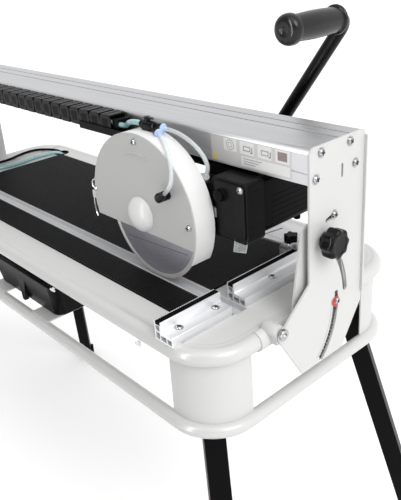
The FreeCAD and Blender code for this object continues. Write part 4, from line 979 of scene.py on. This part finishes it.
def fitting_set(m):
    """Tap with push-in blue collets, front elbow and corrugated rear elbow."""
    build = Build("water_fitting_set")
    black = m["gloss"]
    build.lathe(at(-262, 9, 232), X, [(5.4, 0), (7.0, 0.6), (7.0, 6), (6.2, 6.6), (6.2, 9),
                                      (7.0, 9.6), (7.0, 22),
                                      (6.2, 28), (5.0, 30)], black, 32)
    build.lathe(at(-250, 9, 232), Z, [(5.0, 0), (5.0, 7.6), (4.2, 9)], black, 28)
    build.block(at(-257, 3, 225.6), at(-239, 15, 233), black)
    for points in (FRONT_TUBE, REAR_TUBE):
        start = at(*points[0])
        out = (at(*points[1]) - start).normalized()
        build.lathe(start - out * 17 * MM, out, [(5.2, 0), (5.2, 11), (4.9, 11.6)], black, 28)
        build.lathe(start - out * 5.4 * MM, out, [(4.6, 0), (4.6, 1.2), (6.2, 1.5), (6.4, 2.0),
                                                  (6.4, 3.6), (5.6, 5.0),
                                                 (3.3, 5.2)], m["blue"], 28)
    end = at(*FRONT_TUBE[-1])
    out = (end - at(*FRONT_TUBE[-2])).normalized()
    build.lathe(end, out, [(4.0, -3), (5.0, -2.4), (5.0, 1), (4.4, 1.6), (5.0, 2.4), (5.0, 14)],
                black, 28)
    port = [(6.9, 0), (6.9, 1.2), (6.2, 1.6), (6.2, 3.4), (6.9, 3.8), (6.9, 16.5), (5.4, 19.2),
            (2.2, 20)]
    build.lathe(at(-186, -17, 150), -Y, port, black, 32)
    end = at(*REAR_TUBE[-1])
    out = (end - at(*REAR_TUBE[-2])).normalized()
    path = [end - out * 2 * MM, end + out * 3 * MM, at(-162.5, 26.5, 168), at(-164, 24, 168),
            at(-164, 20, 168)]
    dense = along(path, 12)
    build.tube(dense, lambda i: 5.0 + 0.9 * (1 if i % 2 else 0), m["ribbed"], 24)
    build.lathe(at(-164, 20, 168), Y, [(6.0, 0), (6.0, 2.4), (5.2, 3.2)], m["ribbed"], 28)
    build.done("carriage", ("water_fittings",), bevel=0.25, slot="black_plastic")
    lever = Build("tap_lever_blade")
    lever.lathe(at(-250, 9, 241.3), Z, [(4.2, 0), (4.6, 0.4), (4.6, 2.6), (4.0, 3.0), (0.1, 3.0)],
                black, 28)
    lever.prism([at(-252.5, 6.2, 241.4), at(-238, 6.6, 241.4), at(-234.4, 9, 241.4),
                 at(-238, 11.4, 241.4),
                 at(-252.5, 11.8, 241.4)], Z * 2.6 * MM, black)
    lever.done("tap", ("tap_lever",), bevel=0.4, slot="black_plastic")


def motor_trim(m):
    """Drive case's raised panel, round cover knob, side screw, bracket, and the clear splash flap."""
    build = Build("drive_case_trim")
    outline = []
    for cx, cz, start in ((-88, 166, 0), (-130, 166, 90), (-130, 99, 180), (-88, 99, 270)):
        outline += arc_points(at(cx, 26.0, cz), X, Z, 6.0, start, start + 90, 8)
    middle = sum(outline, Vector()) / len(outline)
    inner = [p + (middle - p) * 0.055 - Y * 2.6 * MM for p in outline]
    shoulder = [p + (middle - p) * 0.012 - Y * 2.2 * MM for p in outline]
    build.loft([outline, shoulder, inner], m["dark_cast"])
    build.lathe(at(-124, 24, 152), -Y, [(9.5, 0), (9.5, 1.4), (8.6, 2.2), (8.6, 6.5), (7.6, 7.8),
                                        (3.0, 8.4)],
                m["plastic"], 32)
    washer(build, at(-88, 23.6, 166), -Y, 5.0, 2, 0.6, m["zinc"])
    pan_head(build, at(-88, 23.0, 166), -Y, 4.4, 2.5, m["zinc"], m["painted_shade"], 0.6)
    # A thin dark plate in the groove between the drive case and the motor housing: painted shade.
    build.block(at(-189.2, 57.2, 90), at(-88.4, 58.6, 160.4), m["painted_shade"])
    build.done("carriage", bevel=0.3, slot="black_plastic")
    bracket = Build("drive_case_bracket")
    bracket.block(at(-150, 21.8, 117), at(-134, 25.9, 131), m["cast"])
    bracket.block(at(-146, 19.8, 120), at(-142, 22.0, 128), m["cast"])
    bracket.done("carriage", bevel=0.8, slot="aluminium")
    vents = Build("motor_cover_knob")
    vents.block(at(-190.2, 60, 118), at(-187.4, 140, 122), m["plastic"])
    for z in (98, 106, 114, 122, 130, 138):
        vents.block(at(-88.4, 84, z), at(-87.5, 156, z + 2.2), m["plastic"])
    for y in (66, 150):
        vents.lathe(at(-100, y, 88), -Z, [(5.2, 0), (5.2, 5.0), (4.4, 6.0)], m["plastic"], 24)
    vents.done("carriage", bevel=0.35, slot="black_plastic")
    flap = Build("clear_splash_flap")
    front = [at(-108, 26.5, 72), at(-104, 26.5, 95), at(-79, 26.5, 101), at(-85, 26.5, 77)]
    flap.loft([front, [p + Vector((0.0002, 0.0012, 0.0)) for p in front]], m["flap"])
    side = [at(-108, 26.5, 72), at(-104, 26.5, 95), at(-108, 40, 95), at(-112, 38, 74)]
    flap.loft([side, [p + Vector((0.0012, 0.0004, 0.0)) for p in side]], m["flap"])
    for first, second in ((front[0], front[3]), (front[0], front[1]), (front[3], front[2])):
        flap.tube([first, second], 0.55, m["clear"], 8)
    flap.done("carriage", bevel=0.2, slot="clear_tube")


def rail_label(m):
    """Plain silver label strip with generic pictograms and a blank white panel."""
    build = Build("rail_label_strip")
    face = 56.0

    def patch(x0, x1, z0, z1, mat, level):
        build.block(at(x0, face - level, z0), at(x1, face - level + 0.1, z1), mat)

    patch(-172, -29, 184.5, 221, m["sticker"], 0.12)
    patch(-115, -32, 186.5, 199.5, m["paper"], 0.2)
    for x0, x1 in ((-147, -123), (-117, -92), (-85, -62), (-55, -32)):
        patch(x0, x1, 202.5, 219.5, m["paper"], 0.2)
    centre = at(-135, face - 0.28, 211)
    for r0, r1 in ((6.4, 7.2), (3.2, 3.8)):
        build.lathe(centre, -Y, [(r0, 0), (r1, 0), (r1, 0.06), (r0, 0.06), (r0, 0)], m["ink_grey"],
                    40, False)
    for x in (-111, -79.5):
        patch(x, x + 13, 207, 214, m["ink_grey"], 0.28)
        patch(x + 1.5, x + 11.5, 208.4, 212.6, m["paper"], 0.34)
        patch(x + 13, x + 16.5, 205.5, 206.7, m["ink"], 0.28)
        patch(x + 15.3, x + 16.5, 205.5, 213.5, m["ink"], 0.28)
    patch(-51.5, -36, 205.5, 217, m["brown"], 0.28)
    for k in range(3):
        patch(-111, -78 - 6 * k, 196 - 3.4 * k, 197 - 3.4 * k, m["ink_grey"], 0.28)
    tri = [at(-171, face - 0.28, 187), at(-160, face - 0.28, 187), at(-165.5, face - 0.28, 196)]
    build.prism(tri, -Y * 0.08 * MM, m["yellow"])
    build.done("rail", smooth=False)


def grip(m):
    """Feed grip: end collar, smooth barrel with a slight swell, and a domed end with a dimple."""
    build = Build("feed_grip")
    base = at(-92, 226, 352)
    profile = [(9.6, 0), (19.4, 0), (20.2, 0.8), (20.2, 3.4), (19.4, 4.6), (17.6, 5.4), (17.2, 8)]
    for i in range(13):
        share = i / 12
        profile.append((17.3 + 1.2 * math.sin(math.pi * share), 10 + 76 * share))
    profile += [(17.2, 89.0), (17.0, 91.5), (18.2, 92.6), (19.6, 93.2), (20.3, 94.2), (20.5, 96.4),
                (20.4, 99.5),
                (19.8, 102.6), (18.6, 105.2), (16.6, 107.3), (13.6, 108.7), (10.0, 109.0),
                (5.6, 109.0), (4.8, 108.4),
                (3.0, 107.8), (0.1, 107.6)]
    build.lathe(base, -Y, profile, m["grip"], 72, False)
    build.done("carriage", ("handle_grip",), slot="rubber", angle=50)


# -------- scene
def paint_all(m):
    table = {
        "paint": ("corner_panels", "table_sheet", "fixed_brackets", "pivot_blocks",
                  "near_end_plate", "far_end_plate",
                  "tub_straps"),
        "guard": ("guard_cover",),
        "white": ("guard_shell",),
        "black_paint": ("leg_sockets", "support_legs", "carriage_plate"),
        "bar_paint": ("handle_bar",),
        "aluminium": ("rail_beam", "mitre_guide"),
        "channel": ("kerf_channel",),
        "aluminium_y": ("front_fence", "rear_fence"),
        "cast": ("trolley_hangers", "spindle_pulley"),
        "dark_cast": ("drive_case",),
        "zinc": ("pivot_bolts", "blade_clamp", "blade_spindle", "motor_rotor"),
        "rubber": ("rubber_feet", "drive_belt"),
        "plastic": ("water_pump", "chain_anchor", "chain_shoe", "motor_housing", "motor_fan_cover",
                    "switch_rocker",
                    "mitre_knob", "near_trolley_rollers", "far_trolley_rollers"),
        "tub": ("water_tub",),
        "copper": ("motor_stator",),
    }
    bevels = {
        "near_end_plate": 0.5, "far_end_plate": 0.5, "fixed_brackets": 0.5, "pivot_blocks": 0.8,
        "tub_straps": 0.5,
        "guard_cover": 0.5, "guard_shell": 0.35, "leg_sockets": 0.8, "support_legs": 2.0,
        "carriage_plate": 0.8,
        "kerf_channel": 0.5, "mitre_guide": 0.5, "front_fence": 0.25, "rear_fence": 0.25,
        "motor_housing": 1.6,
        "motor_fan_cover": 1.2, "chain_shoe": 0.5, "chain_anchor": 0.8, "water_tub": 1.0,
        "rubber_feet": 1.5,
        "mitre_knob": 0.5, "switch_rocker": 0.8, "pivot_bolts": 0.3, "rail_beam": 0.3,
    }
    for key, names in table.items():
        for name in names:
            paint_node(name, m[key], bevels.get(name, 0.0))


def lamp(name, kind, energy, place, aim, **settings):
    """A light at place, shining against aim."""
    data = bpy.data.lights.new(name, kind)
    data.energy = energy
    for key, value in settings.items():
        setattr(data, key, value)
    obj = bpy.data.objects.new(name, data)
    obj.location = place
    obj.rotation_euler = aim.to_track_quat("Z", "Y").to_euler()
    SCENE.collection.objects.link(obj)
    return obj


def stage_and_lights():
    """Pale floor, a world that is dimmer in front, and three soft lights."""
    mat, tree, bsdf = shader("floor_white", (0.95, 0.95, 0.95), 0.9, spec=0.1)
    bsdf.inputs["Emission Color"].default_value = (1.0, 1.0, 1.0, 1.0)
    bsdf.inputs["Emission Strength"].default_value = 0.08
    slow = noise(tree, coords(tree, EVEN), 0.7, 3.0)
    vary_color(tree, bsdf, slow, (0.945, 0.945, 0.945), (0.955, 0.955, 0.955))
    mesh = bpy.data.meshes.new("floor")
    size = 60.0
    mesh.from_pydata([(-size, -size, 0), (size, -size, 0), (size, size, 0), (-size, size, 0)], [],
                     [(0, 1, 2, 3)])
    mesh.materials.append(mat)
    floor = bpy.data.objects.new("floor", mesh)
    SCENE.collection.objects.link(floor)

    world = bpy.data.worlds.new("studio")
    SCENE.world = world
    world.use_nodes = True
    tree = world.node_tree
    back = tree.nodes["Background"]
    source = tree.nodes.new("ShaderNodeTexCoord")
    split = tree.nodes.new("ShaderNodeSeparateXYZ")
    ramp = tree.nodes.new("ShaderNodeMapRange")
    ramp.interpolation_type = "SMOOTHSTEP"
    ramp.inputs["From Min"].default_value = -0.9
    ramp.inputs["From Max"].default_value = 0.15
    ramp.inputs["To Min"].default_value = 0.30
    ramp.inputs["To Max"].default_value = 1.0
    tree.links.new(source.outputs["Generated"], split.inputs["Vector"])
    tree.links.new(split.outputs["Y"], ramp.inputs["Value"])
    tree.links.new(ramp.outputs["Result"], back.inputs["Strength"])
    plain = tree.nodes.new("ShaderNodeBackground")
    for node in (back, plain):
        node.inputs["Color"].default_value = (1.0, 1.0, 1.0, 1.0)
    seen = tree.nodes.new("ShaderNodeLightPath")
    choose = tree.nodes.new("ShaderNodeMixShader")
    tree.links.new(seen.outputs["Is Camera Ray"], choose.inputs["Fac"])
    tree.links.new(back.outputs["Background"], choose.inputs[1])
    tree.links.new(plain.outputs["Background"], choose.inputs[2])
    tree.links.new(choose.outputs["Shader"], tree.nodes["World Output"].inputs["Surface"])
    lamp("key", "SUN", 1.7, (0, 0, 0), Vector((0.80, -0.12, 0.72)), angle=math.radians(35))
    place = Vector((0.9, -0.7, 2.5))
    lamp("top", "AREA", 9.0, place, place - Vector((0.1, 0.0, 0.8)), size=1.6)
    place = Vector((0.25, -2.4, 1.5))
    aim = (place - Vector((0.35, 0.0, 1.0))).normalized()
    strip = lamp("strip", "AREA", 55.0, place, aim, shape="RECTANGLE", size=0.22, size_y=3.0)
    strip.visible_diffuse = False
    SCENE.view_settings.view_transform = "Standard"


def main():
    make_camera()
    m = make_materials()
    paint_all(m)
    water_lines(m)
    tube_loops(m)
    seam_strips(m)
    ribbed_mat("front_rib_mat", "front_mat", m)
    ribbed_mat("rear_rib_mat", "rear_mat", m)
    fence_pads(m)
    table_trim(m)
    blade(m)
    hub_cap(m)
    guard_trim(m)
    latch(m)
    chain(m)
    fitting_set(m)
    motor_trim(m)
    rail_label(m)
    grip(m)
    star_knob("near_star_knob", "near_knob", "near_tilt_knob", 1, m)
    star_knob("far_star_knob", "far_knob", "far_tilt_knob", -1, m)
    end_screws(m)
    guard_screw_heads(m)
    frame_screw_set(m)
    pointer_set(m)
    stage_and_lights()


main()
